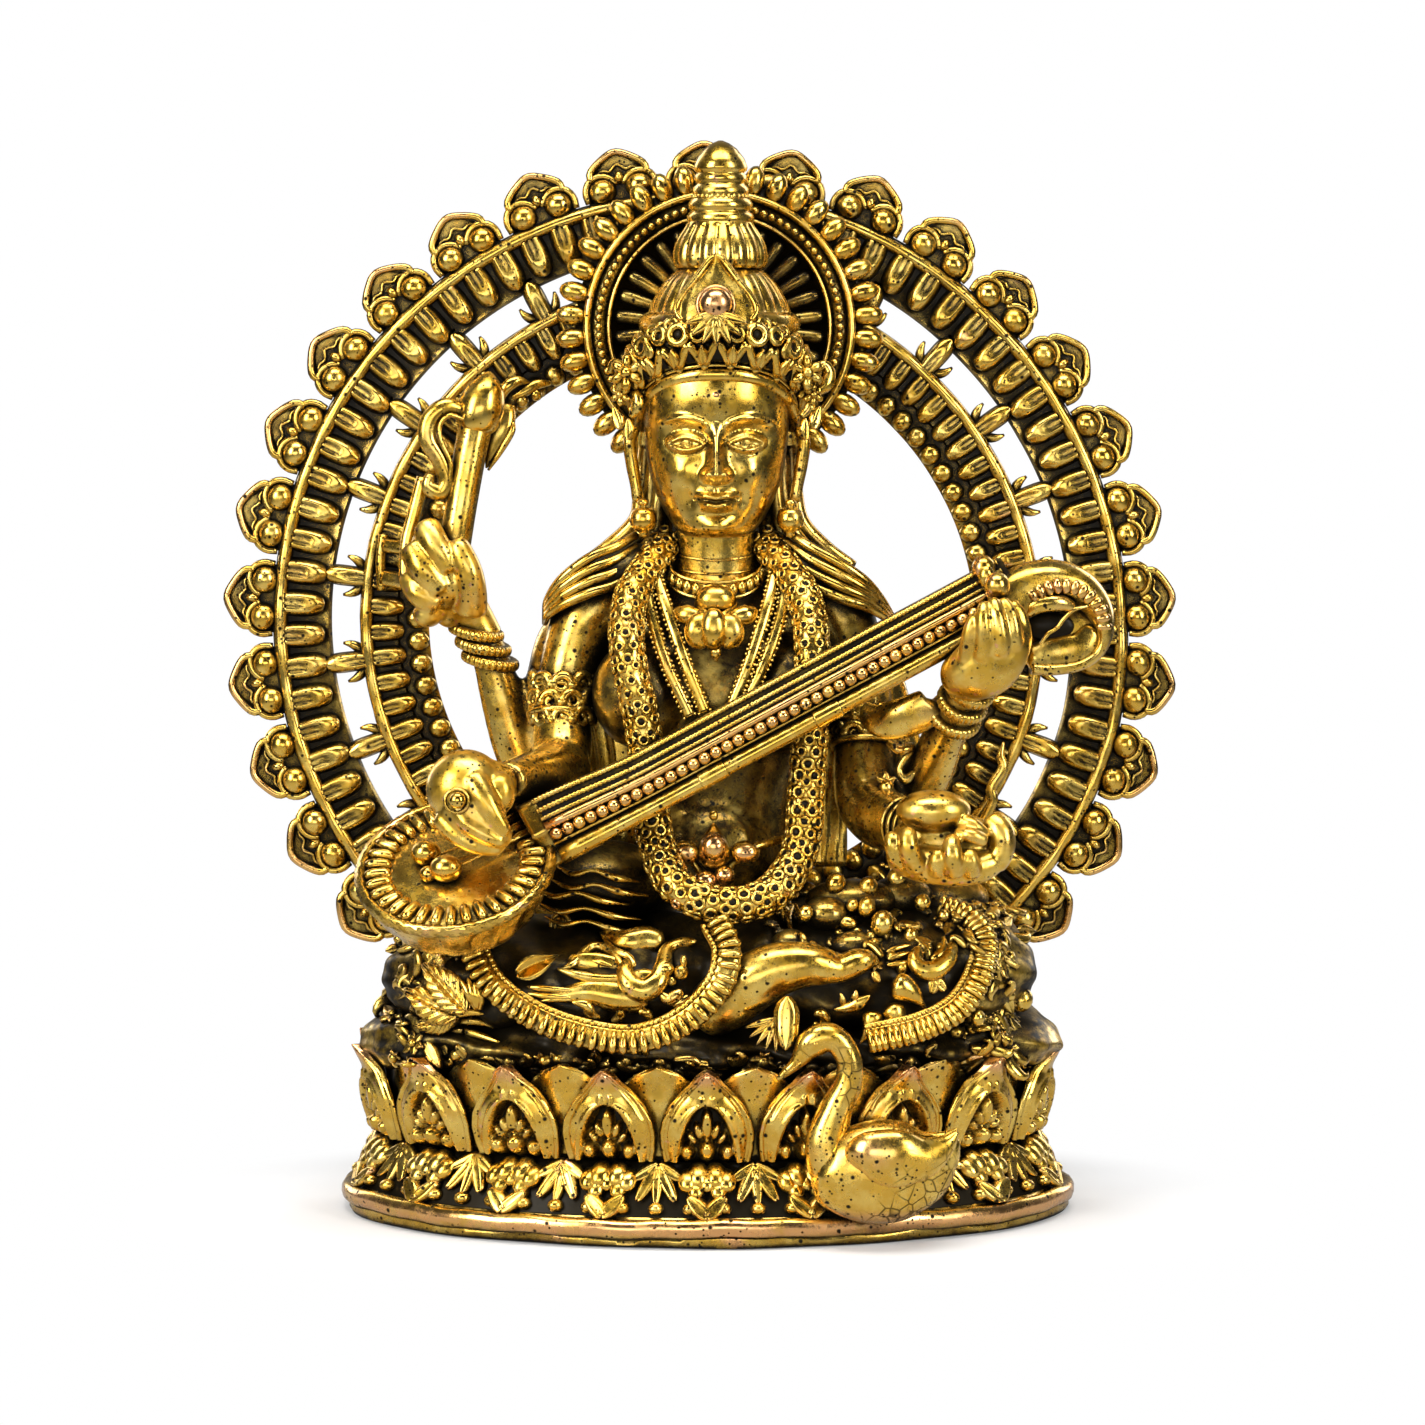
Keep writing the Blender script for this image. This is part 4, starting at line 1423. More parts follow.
torso = [
    tube([[0.8, 1.0, 24.5, 9.5, 8.0], [0.8, 0.9, 29, 8.8, 6.6], [0.8, 1.0, 34, 7.4, 5.4],
          [0.8, 1.0, 38, 6.9, 5.0], [0.8, 0.9, 43, 8.2, 5.2], [0.8, 0.8, 48, 9.3, 5.6],
          [0.8, 0.9, 53, 9.6, 5.0], [0.8, 1.0, 56.5, 8.6, 4.2], [0.8, 1.0, 59, 5.2, 3.6]],
          sides=64, count=70),
    ball((-6.2, -2.8, 48.8), (4.6, 4.4, 5.2), around=36, rows=24),
    ball((7.8, -2.8, 48.8), (4.6, 4.4, 5.2), around=36, rows=24),
    ball((0.8, -3.0, 33.6), (5.4, 2.8, 4.8), around=36, rows=24),
]
melted(make_piece("torso", torso, gilt_cloth), 0.42, 10)

upper_arms = [
    tube([[-9.0, 1.0, 56.8, 3.4, 3.4], [-11, 0.4, 56.2, 3.3, 3.3], [-12.7, 0, 51.7, 2.85, 2.9],
          [-13.5, -1, 47.1, 2.7, 2.8], [-13.5, -3, 43.4, 2.8, 2.9], [-14, -5, 41.4, 2.75, 2.8]],
          sides=40, count=60),
    tube([[-13.1, -4, 42.2, 2.7, 2.6], [-14.9, -8, 41.7, 2.75, 2.6], [-16.6, -11.5, 41.8, 2.3, 2.2],
          [-18.3, -14.5, 41.8, 1.9, 1.8]], sides=36, count=40, side=(0, 0, 1)),
    ball((-14.4, -3.4, 39.1), (3.3, 3.0, 2.4), around=32, rows=20),
    ball((-17, -8.6, 39.4), (2.6, 2.6, 1.9), around=28, rows=16),
    tube([[-9.0, 3.2, 55, 3.0], [-13.4, 3.6, 53.4, 2.6], [-15.4, 3.8, 46.7, 2.3], [-17, 3.6, 41.8, 2.3],
          [-18.1, 3.4, 43.4, 2.25], [-19.3, 3.2, 47.7, 2.1], [-20.5, 3, 52, 1.75], [-21.4, 3, 54.5, 1.6]],
         sides=32, count=80),
    tube([[10.6, 1.0, 56.8, 3.4, 3.4], [12.3, 0.4, 56.2, 3.2, 3.2], [13.9, 0, 51.7, 2.8, 2.9],
          [14.7, -1, 46.6, 2.7, 2.7], [14.6, -3, 41.7, 2.85, 2.9], [14.8, -5, 38.6, 2.9, 2.9]],
         sides=40, count=60),
    tube([[14.4, -4.5, 39, 2.7, 2.8], [16.1, -7.5, 37.7, 2.9, 2.9], [17.7, -10.5, 37.5, 2.5, 2.5],
          [19.2, -13, 37.4, 2.1, 2.0]], sides=36, count=40, side=(0, 0, 1)),
    tube([[9.6, 3.0, 55, 3.0], [15, 3, 51.5, 2.6], [17.8, 1.5, 43.6, 2.4], [18.8, -2, 39.2, 2.3],
          [20.3, -4, 40.9, 2.3], [21.9, -7, 45.3, 2.0], [23.6, -11, 49.8, 1.7]], sides=32, count=80),
]
melted(make_piece("arms", upper_arms, gilt_speckled), 0.36, 8)

# %% [markdown]
# Each hand is a palm with fingers as tapering tubes: one grips the rod of the bud, one plucks with a
# smooth back like a bird's head, one presses the strings with upright fingers, one lies open with
# its fingers curled up.

# %% Hands


def finger(points, thick, thin=None):
    """A finger: a tube through points of one thickness, rounded at its tip."""
    thin = thin or thick * 0.8
    steps = len(points)
    return tube([[*p, thick + (thin - thick) * i / (steps - 1)] for i, p in enumerate(points)],
                sides=20, count=22, rounded=0.12)


raised_hand = [
    tube([[-25.7, 1.2, 64.8, 0.7, 0.6], [-25.9, 0.7, 63.6, 1.3, 1.1], [-26.2, 0.4, 61.9, 1.8, 1.6],
          [-26.2, 0.4, 60, 2.0, 1.9], [-25.7, 0.9, 58, 1.9, 1.9], [-24.8, 1.8, 56.1, 1.5, 1.6]],
         sides=32, count=40, rounded=0.06),
    ball((-24.1, 1.9, 58.2), (2.4, 2.2, 3.6), around=30, rows=20),
    tube([[-20.8, 3, 53.4, 1.7, 1.6], [-22, 2.8, 55.3, 1.95, 1.8], [-23.1, 2.4, 57, 2.2, 2.1]],
         sides=24, count=20),
    finger([(-22.2, 0.4, 55.8), (-22, -0.5, 57.9), (-22.2, -1.1, 60), (-22.9, -1.1, 61.8),
            (-23.6, -0.6, 63.1)],
           1.6, 1.0),
    finger([(-26.5, 0.5, 64.5), (-25.3, -0.8, 62.6), (-23.8, -0.8, 59.9)], 1.4, 1.2),
    finger([(-27.5, 0.6, 62.5), (-26.4, -0.7, 60.4), (-24.4, -0.6, 58.1)], 1.6, 1.3),
    finger([(-27.8, 0.8, 59.8), (-26.8, -0.4, 58), (-25, -0.2, 56.8)], 1.4, 1.2),
    ball((-24.3, 0.4, 58.9), (2.2, 2.0, 2.4), around=28, rows=18),
    ball((-26.2, 0.6, 56), (1.45, 1.5, 1.25), around=24, rows=14),
]
melted(make_piece("raised_hand", raised_hand, gilt_hand), HAND_VOXEL, 4)

plucking_hand = [
    ball((-21.7, -17.2, 41.4), (3.6, 3.0, 3.6), around=32, rows=22),
    tube([[-18.4, -15.2, 41.7, 1.9, 1.9], [-19.7, -16.6, 41.6, 2.6, 2.4]], sides=24, count=12),
    tube([[-21.6, -17.8, 40.6, 3.2, 2.6], [-20.5, -18.6, 39.1, 2.7, 2.2], [-19.1, -19.2, 37.6, 1.8, 1.6],
          [-17.7, -19.4, 36.6, 0.8, 0.8]], sides=36, count=40, rounded=0.05),
    finger([(-24, -18.0, 39.4), (-22.5, -18.9, 37.6), (-20.5, -19.5, 36.5), (-18.1, -19.7, 36.2)], 1.2, 0.6),
    finger([(-22.4, -19.1, 40.1), (-21.2, -20.0, 38.5), (-19.6, -20.3, 37.5), (-17.9, -20.2, 36.8)],
           1.1, 0.55),
    finger([(-21.2, -18.6, 42.7), (-19.9, -19.8, 40.9), (-18.8, -20.2, 39.1), (-17.7, -20.1, 37.5)],
           1.5, 0.6),
    ball((-18.5, -18.4, 41.2), (1.4, 1.5, 1.9), around=24, rows=14),
]
melted(make_piece("plucking_hand", plucking_hand, gilt_hand), HAND_VOXEL, 7)
ring_jewel = [ball((-22.2, -21.2, 40.8), (0.75, 0.6, 0.75), around=16, rows=10),
              copies(ring_form(1.05, 0.17, 18), (-22.3, -20.7, 40.7), (0, 0, 1), (0, -1, 0))]
make_piece("finger_ring", ring_jewel, gilt_rim)

string_hand = [
    tube([[21.9, -11.8, 51.2, 1.5, 1.5], [23.4, -13.2, 51.5, 2.4, 2.0], [25.1, -14.0, 52.4, 3.1, 2.2],
          [26.4, -14.3, 54.4, 2.9, 1.8], [26.5, -14.2, 56.4, 2.1, 1.4], [26.2, -13.8, 57.9, 1.2, 1.0]],
          sides=44,
         count=40, rounded=0.06),
    tube([[23.6, -11.4, 49.7, 1.8, 1.7], [23.9, -12.4, 50.9, 2.4, 2.1]], sides=24, count=12),
    finger([(23.4, -14.4, 52.5), (23.5, -15.4, 54.2), (23.7, -15.9, 55.8), (24.2, -15.7, 57.2)], 0.95, 0.5),
    finger([(24.8, -15.4, 52.7), (24.9, -16.1, 54.8), (24.8, -16.3, 56.7), (24.9, -15.5, 58.3)], 1.0, 0.5),
    finger([(26.3, -15.5, 53.3), (26.4, -16.2, 54.9), (26.1, -16.2, 56.9), (25.7, -15.3, 58.6)], 1.0, 0.5),
    finger([(27.6, -15.0, 53.8), (27.6, -15.6, 55.3), (27.3, -15.6, 57.1), (26.5, -15.0, 58.5)], 1.0, 0.5),
    finger([(28.5, -13.8, 53.9), (28.6, -14.2, 55.3), (28.2, -14.4, 57), (27.3, -14.2, 58.2)], 0.9, 0.5),
]
melted(make_piece("string_hand", string_hand, gilt_hand), HAND_VOXEL, 3)

giving_hand = [
    ball((21.6, -14.8, 36.3), (5.2, 3.0, 2.8), around=36, rows=22),
    tube([[16.8, -16.2, 36.1, 0.9, 0.9], [17.9, -17.0, 35, 1.5, 1.4], [21, -17.6, 34.4, 1.7, 1.5],
          [24.1, -17.6, 34.3, 1.5, 1.4], [26.2, -17.0, 35, 1.1, 1.2]], sides=32, count=40, rounded=0.06),
    tube([[18.7, -12.6, 37.5, 2.0, 2.0], [19.8, -14, 37.5, 2.4, 2.2]], sides=24, count=12),
    ball((20.4, -16.8, 39.4), (3.4, 2.4, 1.9), around=36, rows=22),
    finger([(17.8, -17.6, 34.3), (16.9, -18.4, 35.5), (16.6, -18.5, 36.8), (16.7, -17.8, 37.4)], 0.85, 0.65),
    finger([(19, -18.2, 34.2), (18.2, -19.3, 35.9), (18, -19.2, 37.2), (18.1, -18.4, 37.7)], 1.0, 0.8),
    finger([(20.6, -18.4, 34), (20.6, -19.4, 35.1), (20.7, -19.0, 36.1)], 0.9, 0.6),
    finger([(22.2, -18.6, 33.9), (22, -19.8, 35.4), (21.9, -19.4, 36.6), (22.1, -18.6, 37)], 1.0, 0.8),
    finger([(23.7, -18.4, 33.9), (23.6, -19.4, 35.1), (23.5, -18.8, 36.1)], 0.95, 0.65),
    finger([(22.4, -18.2, 37.5), (23.7, -19.2, 37.4), (25.1, -18.8, 36.8)], 0.8, 0.6),
    finger([(22.6, -17.4, 38.6), (23.9, -18.4, 38.2), (25.2, -18.2, 37.1)], 0.85, 0.6),
    finger([(25.5, -16.0, 38.5), (26.4, -17.0, 37.5), (26.5, -17.2, 35.9), (25.6, -17.2, 34.2)], 1.35, 1.15),
]
melted(make_piece("giving_hand", giving_hand, gilt_hand), HAND_VOXEL, 2)

# %% [markdown]
# In the raised hand stands a rod that ends in a lotus bud, with a curled ribbon beside it. A strap
# with square holes and a leafy scarf end tie the raised arm and the ring together.

# %% Bud, ribbon and strap
bud_rod = tube([[-23.7, 1.6, 62.4, 1.5], [-23, 1.8, 66.7, 1.5], [-22.2, 2.2, 71.3, 1.55],
                [-21.7, 2.6, 73.7, 1.6]], sides=24, count=30)
lotus_bud = tube([[-21.9, 2.6, 72.6, 1.0], [-21.7, 2.6, 73.6, 1.95], [-21.2, 2.6, 75.4, 2.2],
                  [-20.7, 2.6, 77.1, 1.7], [-20.5, 2.6, 78.2, 0.8], [-20.4, 2.6, 78.7, 0.1]],
                  sides=28, count=36)
ribbon = tube([[-22.8, 2.0, 74.9, 0.7, 0.6], [-24.4, 1.4, 75.4, 0.85, 0.7], [-25.9, 1.2, 74.2, 0.9, 0.7],
               [-26.1, 1.2, 72.3, 0.9, 0.7], [-25, 1.3, 70.4, 0.85, 0.7], [-24.4, 1.4, 68.5, 0.85, 0.7],
               [-25, 1.4, 67.4, 0.85, 0.7], [-26.1, 1.3, 68, 0.7, 0.6], [-25.9, 1.2, 69.1, 0.45, 0.45]],
              sides=16, count=110)
ribbon_edge = tube([[-22.7, 1.2, 74.2, 0.22], [-24, 0.6, 74.6, 0.22], [-24.9, 0.6, 73.8, 0.22],
                    [-24.9, 0.6, 72.3, 0.22], [-24, 0.7, 70.2, 0.22], [-24.1, 0.8, 68.4, 0.2]],
                   sides=8, count=60)
make_piece("bud", [bud_rod, lotus_bud], gilt_smooth)
make_piece("bud_ribbon", [ribbon, ribbon_edge], gilt_relief)
strap = [tube([[-30.9, 8.6, 63.1, 0.5, 0.5], [-31.2, 8.6, 60.7, 0.5, 0.5], [-31.1, 8.6, 57.8, 0.5, 0.5]],
              sides=8),
         tube([[-26.9, 6.4, 68.6, 0.7, 0.4], [-27.8, 6.2, 65.1, 0.7, 0.4], [-28.5, 6.0, 62.2, 0.7, 0.4],
               [-28.7, 5.8, 58.9, 0.6, 0.4]], sides=8),
         tube([[-30.9, 8.4, 62.1, 0.7, 0.4], [-28.2, 6.6, 61.8, 0.7, 0.4]], sides=8),
         tube([[-31.1, 8.4, 59, 0.8, 0.4], [-28.5, 6.6, 58.7, 0.8, 0.4]], sides=8)]
tail_leaf = tube([[-20.8, 3.4, 69.6, 0.1, 0.2], [-20.2, 3.4, 71.3, 0.75, 0.5], [-19.4, 3.4, 73.2, 1.1, 0.6],
                  [-19, 3.6, 74.7, 1.0, 0.5], [-18.9, 3.8, 75.6, 0.5, 0.3]], sides=14, count=30)
tail_edge = tube([[-20.6, 3.0, 69.4, 0.12], [-19.5, 3.0, 71.1, 0.3], [-18.4, 3.0, 73, 0.34],
                  [-18.2, 3.2, 74, 0.15]],
                 sides=8, count=24)
tail_loop = [tube([[-19.8, 8.2, 75.9, 0.4, 0.4], [-19.1, 8.0, 77.1, 0.6, 0.5], [-18.1, 8.2, 77.7, 0.55, 0.45],
                   [-17, 8.6, 77.6, 0.15, 0.2]], sides=12, count=24),
             tube([[-18.6, 8.6, 76.1, 0.3, 0.3], [-17.4, 8.6, 76.7, 0.5, 0.4], [-16.1, 8.9, 77.4, 0.5, 0.4],
                   [-14.9, 9.2, 77.5, 0.2, 0.2]], sides=12, count=24),
             ball((-18.6, 8.7, 75), (0.55, 0.5, 0.55)), ball((-17.6, 8.8, 75.8), (0.6, 0.5, 0.6)),
             ball((-16.3, 8.9, 76.4), (0.6, 0.5, 0.6))]
flame = tube([[28.4, 8.4, 43.2, 0.15, 0.2], [28.1, 8.0, 41.9, 0.4, 0.3], [28.3, 7.8, 40.8, 0.5, 0.3],
              [27.2, 7.6, 38.9, 0.5, 0.3], [27.3, 7.6, 37.5, 0.5, 0.3], [25.9, 7.6, 34.8, 0.5, 0.4]],
             sides=10, count=40)
make_piece("straps", [*strap, tail_leaf, tail_edge, *tail_loop, flame], gilt_relief)

# %% [markdown]
# ## Cushion and lap
#
# The goddess sits cross-legged on a low cushion that is completely covered with leaves, flowers and
# berries. Cushion and lap are two wide lumpy tubes laid from knee to knee. Ornaments are set on their
# fronts: for a place (x, z) the surface gives its depth, so any leaf can be put down and turned.

# %% Cushion and lap masses
seat_stations = np.array([[-30.0, 1.0, 16.4, 1.2, 3], [-29.0, 0.5, 16.6, 2.9, 8], [-26, 0, 16.9, 3.3, 11],
                          [-15, -1.0, 17, 3.5, 13.6], [0, -1.5, 17, 3.5, 14.4], [15, -1.0, 17, 3.5, 13.6],
                          [26.5, 0, 16.9, 3.3, 11], [29.5, 0.5, 16.6, 2.9, 8], [30.4, 1.0, 16.4, 1.2, 3]])
lap_stations = np.array([[-28.2, -2.5, 22.6, 1.5, 3], [-27, -3, 22.6, 3.8, 6.5], [-23, -3.4, 22.5, 5.0, 9.5],
                         [-14, -3.2, 22.2, 5.6, 11.6], [-4, -2.5, 22.2, 6.4, 12.4],
                         [6, -2.5, 22.6, 6.8, 12.4], [15, -3.2, 23.2, 6.6, 12.0],
                         [23, -3.4, 23.4, 6.0, 10.4], [27.5, -3, 23.2, 4.6, 7.5], [29.2, -2.5, 23, 1.6, 3]])


def front_of(stations, x, z):
    """Depth of the tube's front at (x, z): the middle depth less the half depth of an ellipse."""
    middle_y, middle_z, half_z, half_y = (np.interp(x, stations[:, 0], stations[:, k]) for k in (1, 2, 3, 4))
    return middle_y - half_y * np.sqrt(np.clip(1 - ((z - middle_z) / half_z) ** 2, 0.02, 1))


def laid_on(stations, form, x, z, spin, size):
    """The form put on a front at x, z, its y turned clockwise from upright by spin degrees."""
    x, z, spin = (np.atleast_1d(np.asarray(a, float)) for a in (x, z, spin))
    x, z, spin = np.broadcast_arrays(x, z, spin)
    step = 0.2
    here = front_of(stations, x, z)
    slope_x = (front_of(stations, x + step, z) - front_of(stations, x - step, z)) / (2 * step)
    slope_z = (front_of(stations, x, z + step) - front_of(stations, x, z - step)) / (2 * step)
    out = unit(np.stack([np.clip(slope_x, -1.5, 1.5), -np.ones_like(x), np.clip(slope_z, -1.5, 1.5)], axis=1))
    turn = np.radians(spin)
    up = np.stack([np.sin(turn), 0 * turn, np.cos(turn)], axis=1)
    return copies(form, np.stack([x, here, z], axis=1) + out * 0.1, up, out, size)


def lumps(angle, v):
    """Low waves round and along a tube, which keep a modelled roll from looking turned."""
    return (0.03 * np.sin(9 * angle + 31 * v) + 0.03 * np.sin(4 * angle - 57 * v)
            + 0.02 * np.sin(83 * v + angle))


SEAT_SIDES, LAP_SIDES = 90, 110
seat = tube(seat_stations, sides=SEAT_SIDES, count=200, relief=lumps)
lap = tube(lap_stations, sides=LAP_SIDES, count=220, relief=lumps)
make_piece("cushion", seat, gilt_dark)
lap_cloths = [ball((-10.2, -3.4, 31.4), (7.0, 6.0, 3.8), around=40, rows=24),
              ball((21.8, -2.0, 29.5), (4.6, 5.0, 2.6), around=32, rows=20)]
make_piece("lap", lap, gilt_dark)
make_piece("lap_cloths", lap_cloths, gilt_cloth)

# %% [markdown]
# The small ornaments: a veined leaf, a curled leaf, a berry with its cap, and a rosette. Hundreds of
# them are scattered with a fixed seed, denser on the cushion than on the lap.

# %% Ornaments of the cushion


def veined_leaf(length, width, thick, veins):
    """Leaf with slanting veins: waves of v - |u| / 3 that grow towards the edge, and a midrib."""
    def half_width(v):
        return width * np.sin(np.pi * np.clip(0.05 + 0.93 * v, 0, 1) ** 0.85) + 0.02

    def front(u, v):
        vein = 0.34 * thick * np.cos(TURN * veins * (v - 0.33 * np.abs(u))) * np.abs(u) ** 0.6
        midrib = 0.5 * thick * np.exp(-((u / 0.13) ** 2))
        return thick * (0.4 + 0.7 * np.sqrt(np.maximum(1 - u * u, 0))) + vein - midrib

    return pillow(half_width, length, front, lambda u, v: -0.4, rows=40, across=21)


def capped_berry(size):
    """A berry on a short stalk with a three-lobed cap."""
    lobes = [moved(turned(leaf_shape(1.1, 0.42, 0.35, rows=6, across=5), turn), (0, 0.55, 0.1))
             for turn in (-60, 0, 60)]
    whole = joined([ball((0, 0, 0.35), (0.8, 0.95, 0.75), around=12, rows=8), *lobes])
    return moved(whole, 0, size)


curled_leaf = tube([[0, 0, 0.1, 0.35, 0.3], [0.25, 0.8, 0.35, 0.62, 0.35], [0.15, 1.6, 0.6, 0.5, 0.3],
                    [-0.35, 2.1, 0.7, 0.25, 0.2], [-0.75, 1.9, 0.6, 0.1, 0.1]], sides=8, count=10,
                    side=(0, 0, 1))
plain_leaf = leaf_shape(2.4, 0.72, 0.55, rows=8, across=7)
short_leaf = leaf_shape(1.5, 0.6, 0.5, rows=6, across=7)
small_rosette = joined([ball((0, 0, 0.4), (0.5, 0.5, 0.4), around=8, rows=5)]
                       + [turned(leaf_shape(1.35, 0.5, 0.45, rows=6, across=5), k * 60) for k in range(6)])

chance = np.random.default_rng(11)


def scattered_on(stations, form, count, x_range, z_range):
    """Copies of a form at random places of a front, spread evenly along x."""
    x = np.linspace(*x_range, count) + chance.uniform(-0.5, 0.5, count) * (x_range[1] - x_range[0]) / count
    z = chance.uniform(*z_range, count)
    return laid_on(stations, form, x, z, chance.uniform(0, 360, count), chance.uniform(0.8, 1.2, count))


def scattered_set(counts, seat_z, lap_z, x_range):
    """Leaves, curls and berries at random on the seat's front and on the lap's front."""
    made = []
    for stations, z_range, share in ((seat_stations, seat_z, 1.0), (lap_stations, lap_z, counts[4])):
        for form, count in ((plain_leaf, counts[0]), (short_leaf, counts[1]), (curled_leaf, counts[2]),
                            (capped_berry(0.7), counts[3])):
            made.append(scattered_on(stations, form, max(2, int(count * share)), x_range, z_range))
    return made


front_parts = scattered_set((70, 90, 50, 30, 0.1), (13.8, 16.6), (17.5, 18.6), (-28.5, 29.5))
front_parts += scattered_set((16, 20, 14, 7, 1.3), (14.2, 19.4), (18.5, 27.5), (25.0, 29.2))
front_parts += scattered_set((12, 16, 10, 5, 1.3), (14.2, 19.0), (18.5, 26.5), (-28.8, -25.5))
make_piece("cushion_leaves", front_parts, gilt_crowded)


def over_skin(form, columns, shapes, chosen):
    """Ornaments on a tube's skin: grid points where chosen(x, y, z), by their share of the area.

    The normal at a grid point is the cross product of the steps along and round the tube.
    """
    grid = form[0].reshape(-1, columns, 3)
    along = np.gradient(grid, axis=0)
    normal = np.cross(along, np.roll(grid, -1, axis=1) - np.roll(grid, 1, axis=1))
    normal *= np.sign((normal * (grid - grid.mean(axis=1, keepdims=True))).sum(axis=-1, keepdims=True))
    weight = np.linalg.norm(normal, axis=-1) * chosen(*np.moveaxis(grid, -1, 0))
    made = []
    for shape, count, size in shapes:
        pick = chance.choice(weight.size, count, p=weight.ravel() / weight.sum())
        out = unit(normal.reshape(-1, 3)[pick])
        made.append(copies(shape, grid.reshape(-1, 3)[pick] + 0.05 * out, chance.normal(size=(count, 3)), out,
                           size * chance.uniform(0.8, 1.2, count)))
    return made


side_shapes = ((plain_leaf, 56, 0.95), (short_leaf, 50, 1.0), (curled_leaf, 44, 1.0),
               (capped_berry(0.8), 24, 0.9), (small_rosette, 14, 1.0))
make_piece("side_leaves", [
    *over_skin(seat, SEAT_SIDES, side_shapes,
               lambda x, y, z: (np.abs(x) > 22) & (np.abs(x) < 29.2) & (y > -12)),
    *over_skin(lap, LAP_SIDES, side_shapes,
               lambda x, y, z: (np.abs(x) > 21) & (np.abs(x) < 27.6) & (y > -11))], gilt_crowded)
knee_shapes = ((short_leaf, 46, 0.85), (curled_leaf, 40, 0.9), (capped_berry(0.7), 30, 0.9),
               (plain_leaf, 20, 0.8))
make_piece("knee_leaves",
           over_skin(lap, LAP_SIDES, knee_shapes, lambda x, y, z: (x > 6) & (x < 27) & (z > 24.5) & (y < 0)),
           gilt_crowded)
for_back = scattered_set((110, 120, 90, 50, 0.8), (14.2, 19.4), (18.5, 28.0), (-28.5, 29.0))
for name, forms, depth in (("cushion_back_leaves", for_back[:4], 0.97),
                           ("lap_back_leaves", for_back[4:], 0.75)):
    make_piece(name, [mirrored(form, (1, -depth, 1)) for form in forms], gilt_crowded)

# %% [markdown]
# Over that ground lie the larger pieces that can be told apart in the photograph, and black patina
# is left between them. Most are strokes: a tube that follows the cushion's surface through a few
# points, each with its own width, the way a modeller lays a thin roll of wax and presses it down.

# %% Strokes, feather leaves and folds


def surface_at(x, z):
    """Depth of whichever lies in front, the seat or the lap."""
    return np.minimum(front_of(seat_stations, x, z), front_of(lap_stations, x, z))


def stroke(points, rise, flat=0.8):
    """A roll laid on the surface through points [x, z, half width]."""
    x, z, width = np.array(points, float).T
    width = 1.2 * width
    return tube(np.stack([x, surface_at(x, z) - rise, z, width, flat * width], axis=1),
                count=10 * len(x), side=(0, -1, 0.2), rounded=0.1)


def laid(form, x, z, spin, size=1.0, lift=0.3):
    """The form laid on the surface at x, z, with its y turned clockwise by spin degrees."""
    x, z, spin, size = (np.atleast_1d(np.asarray(a, float)) for a in (x, z, spin, size))
    x, z, spin, size = np.broadcast_arrays(x, z, spin, size)
    turn = np.radians(spin)
    up = np.stack([np.sin(turn), 0 * turn, np.cos(turn)], axis=1)
    lean = np.clip((surface_at(x + 0.3, z) - surface_at(x - 0.3, z)) / 0.6, -0.9, 0.9)
    out = unit(np.stack([lean, -np.ones_like(x), 0.15 + 0 * x], axis=1))
    return copies(form, np.stack([x, surface_at(x, z) - lift, z], axis=1), up, out, size)


def dots(points, count, size, rise=0.2):
    """Little balls at equal steps along a line on the surface."""
    line = smooth_curve([[x, 0, z] for x, z in points], count)
    line[:, 1] = surface_at(line[:, 0], line[:, 2]) - rise
    return copies(ball((0, 0, 0), (1, 1, 1), around=8, rows=6), line, (0, 0, 1), (0, -1, 0), size)


feather = veined_leaf(1.0, 0.27, 0.13, veins=7)
rounder = veined_leaf(1.0, 0.32, 0.13, veins=6)
left_end = [
    laid(feather, -21.8, 20.6, -45, 6.0, 1.0), laid(rounder, -22.7, 20.1, -66, 5.4, 1.0),
    laid(feather, -22.9, 19.9, -101, 4.2, 1.0), laid(feather, -24.7, 23.1, -18, 4.4, 0.3),
    stroke([[-21, 20.8, 0.2], [-21.6, 22.3, 0.36], [-22.5, 23.6, 0.1]], 0.9),
    stroke([[-20.9, 20.9, 0.2], [-21.3, 22.3, 0.36], [-21.8, 23.8, 0.1]], 1.0),
    stroke([[-20.9, 20.9, 0.2], [-20.9, 22.1, 0.36], [-21.2, 23.4, 0.1]], 1.0),
    stroke([[-20.7, 20.8, 0.2], [-20.6, 21.8, 0.32], [-20.6, 22.8, 0.1]], 0.9),
    stroke([[-24.3, 19.7, 0.15], [-22.9, 20.3, 0.34], [-21.6, 20.6, 0.3], [-20.3, 20.4, 0.12]], 1.0),
    stroke([[-23.6, 19, 0.15], [-22.3, 19.5, 0.3], [-20.9, 19.5, 0.3], [-19.4, 18.8, 0.12]], 0.8),
    stroke([[-25.1, 18.6, 0.15], [-23.8, 18.8, 0.4], [-21.6, 18.4, 0.35], [-18.9, 17.8, 0.15]], 0.7),
    laid(small_rosette, -27.0, 17.6, 0, 1.2), laid(capped_berry(1.0), -27.8, 20.4, -30),
]
make_piece("feather_leaves", left_end, gilt_petal)

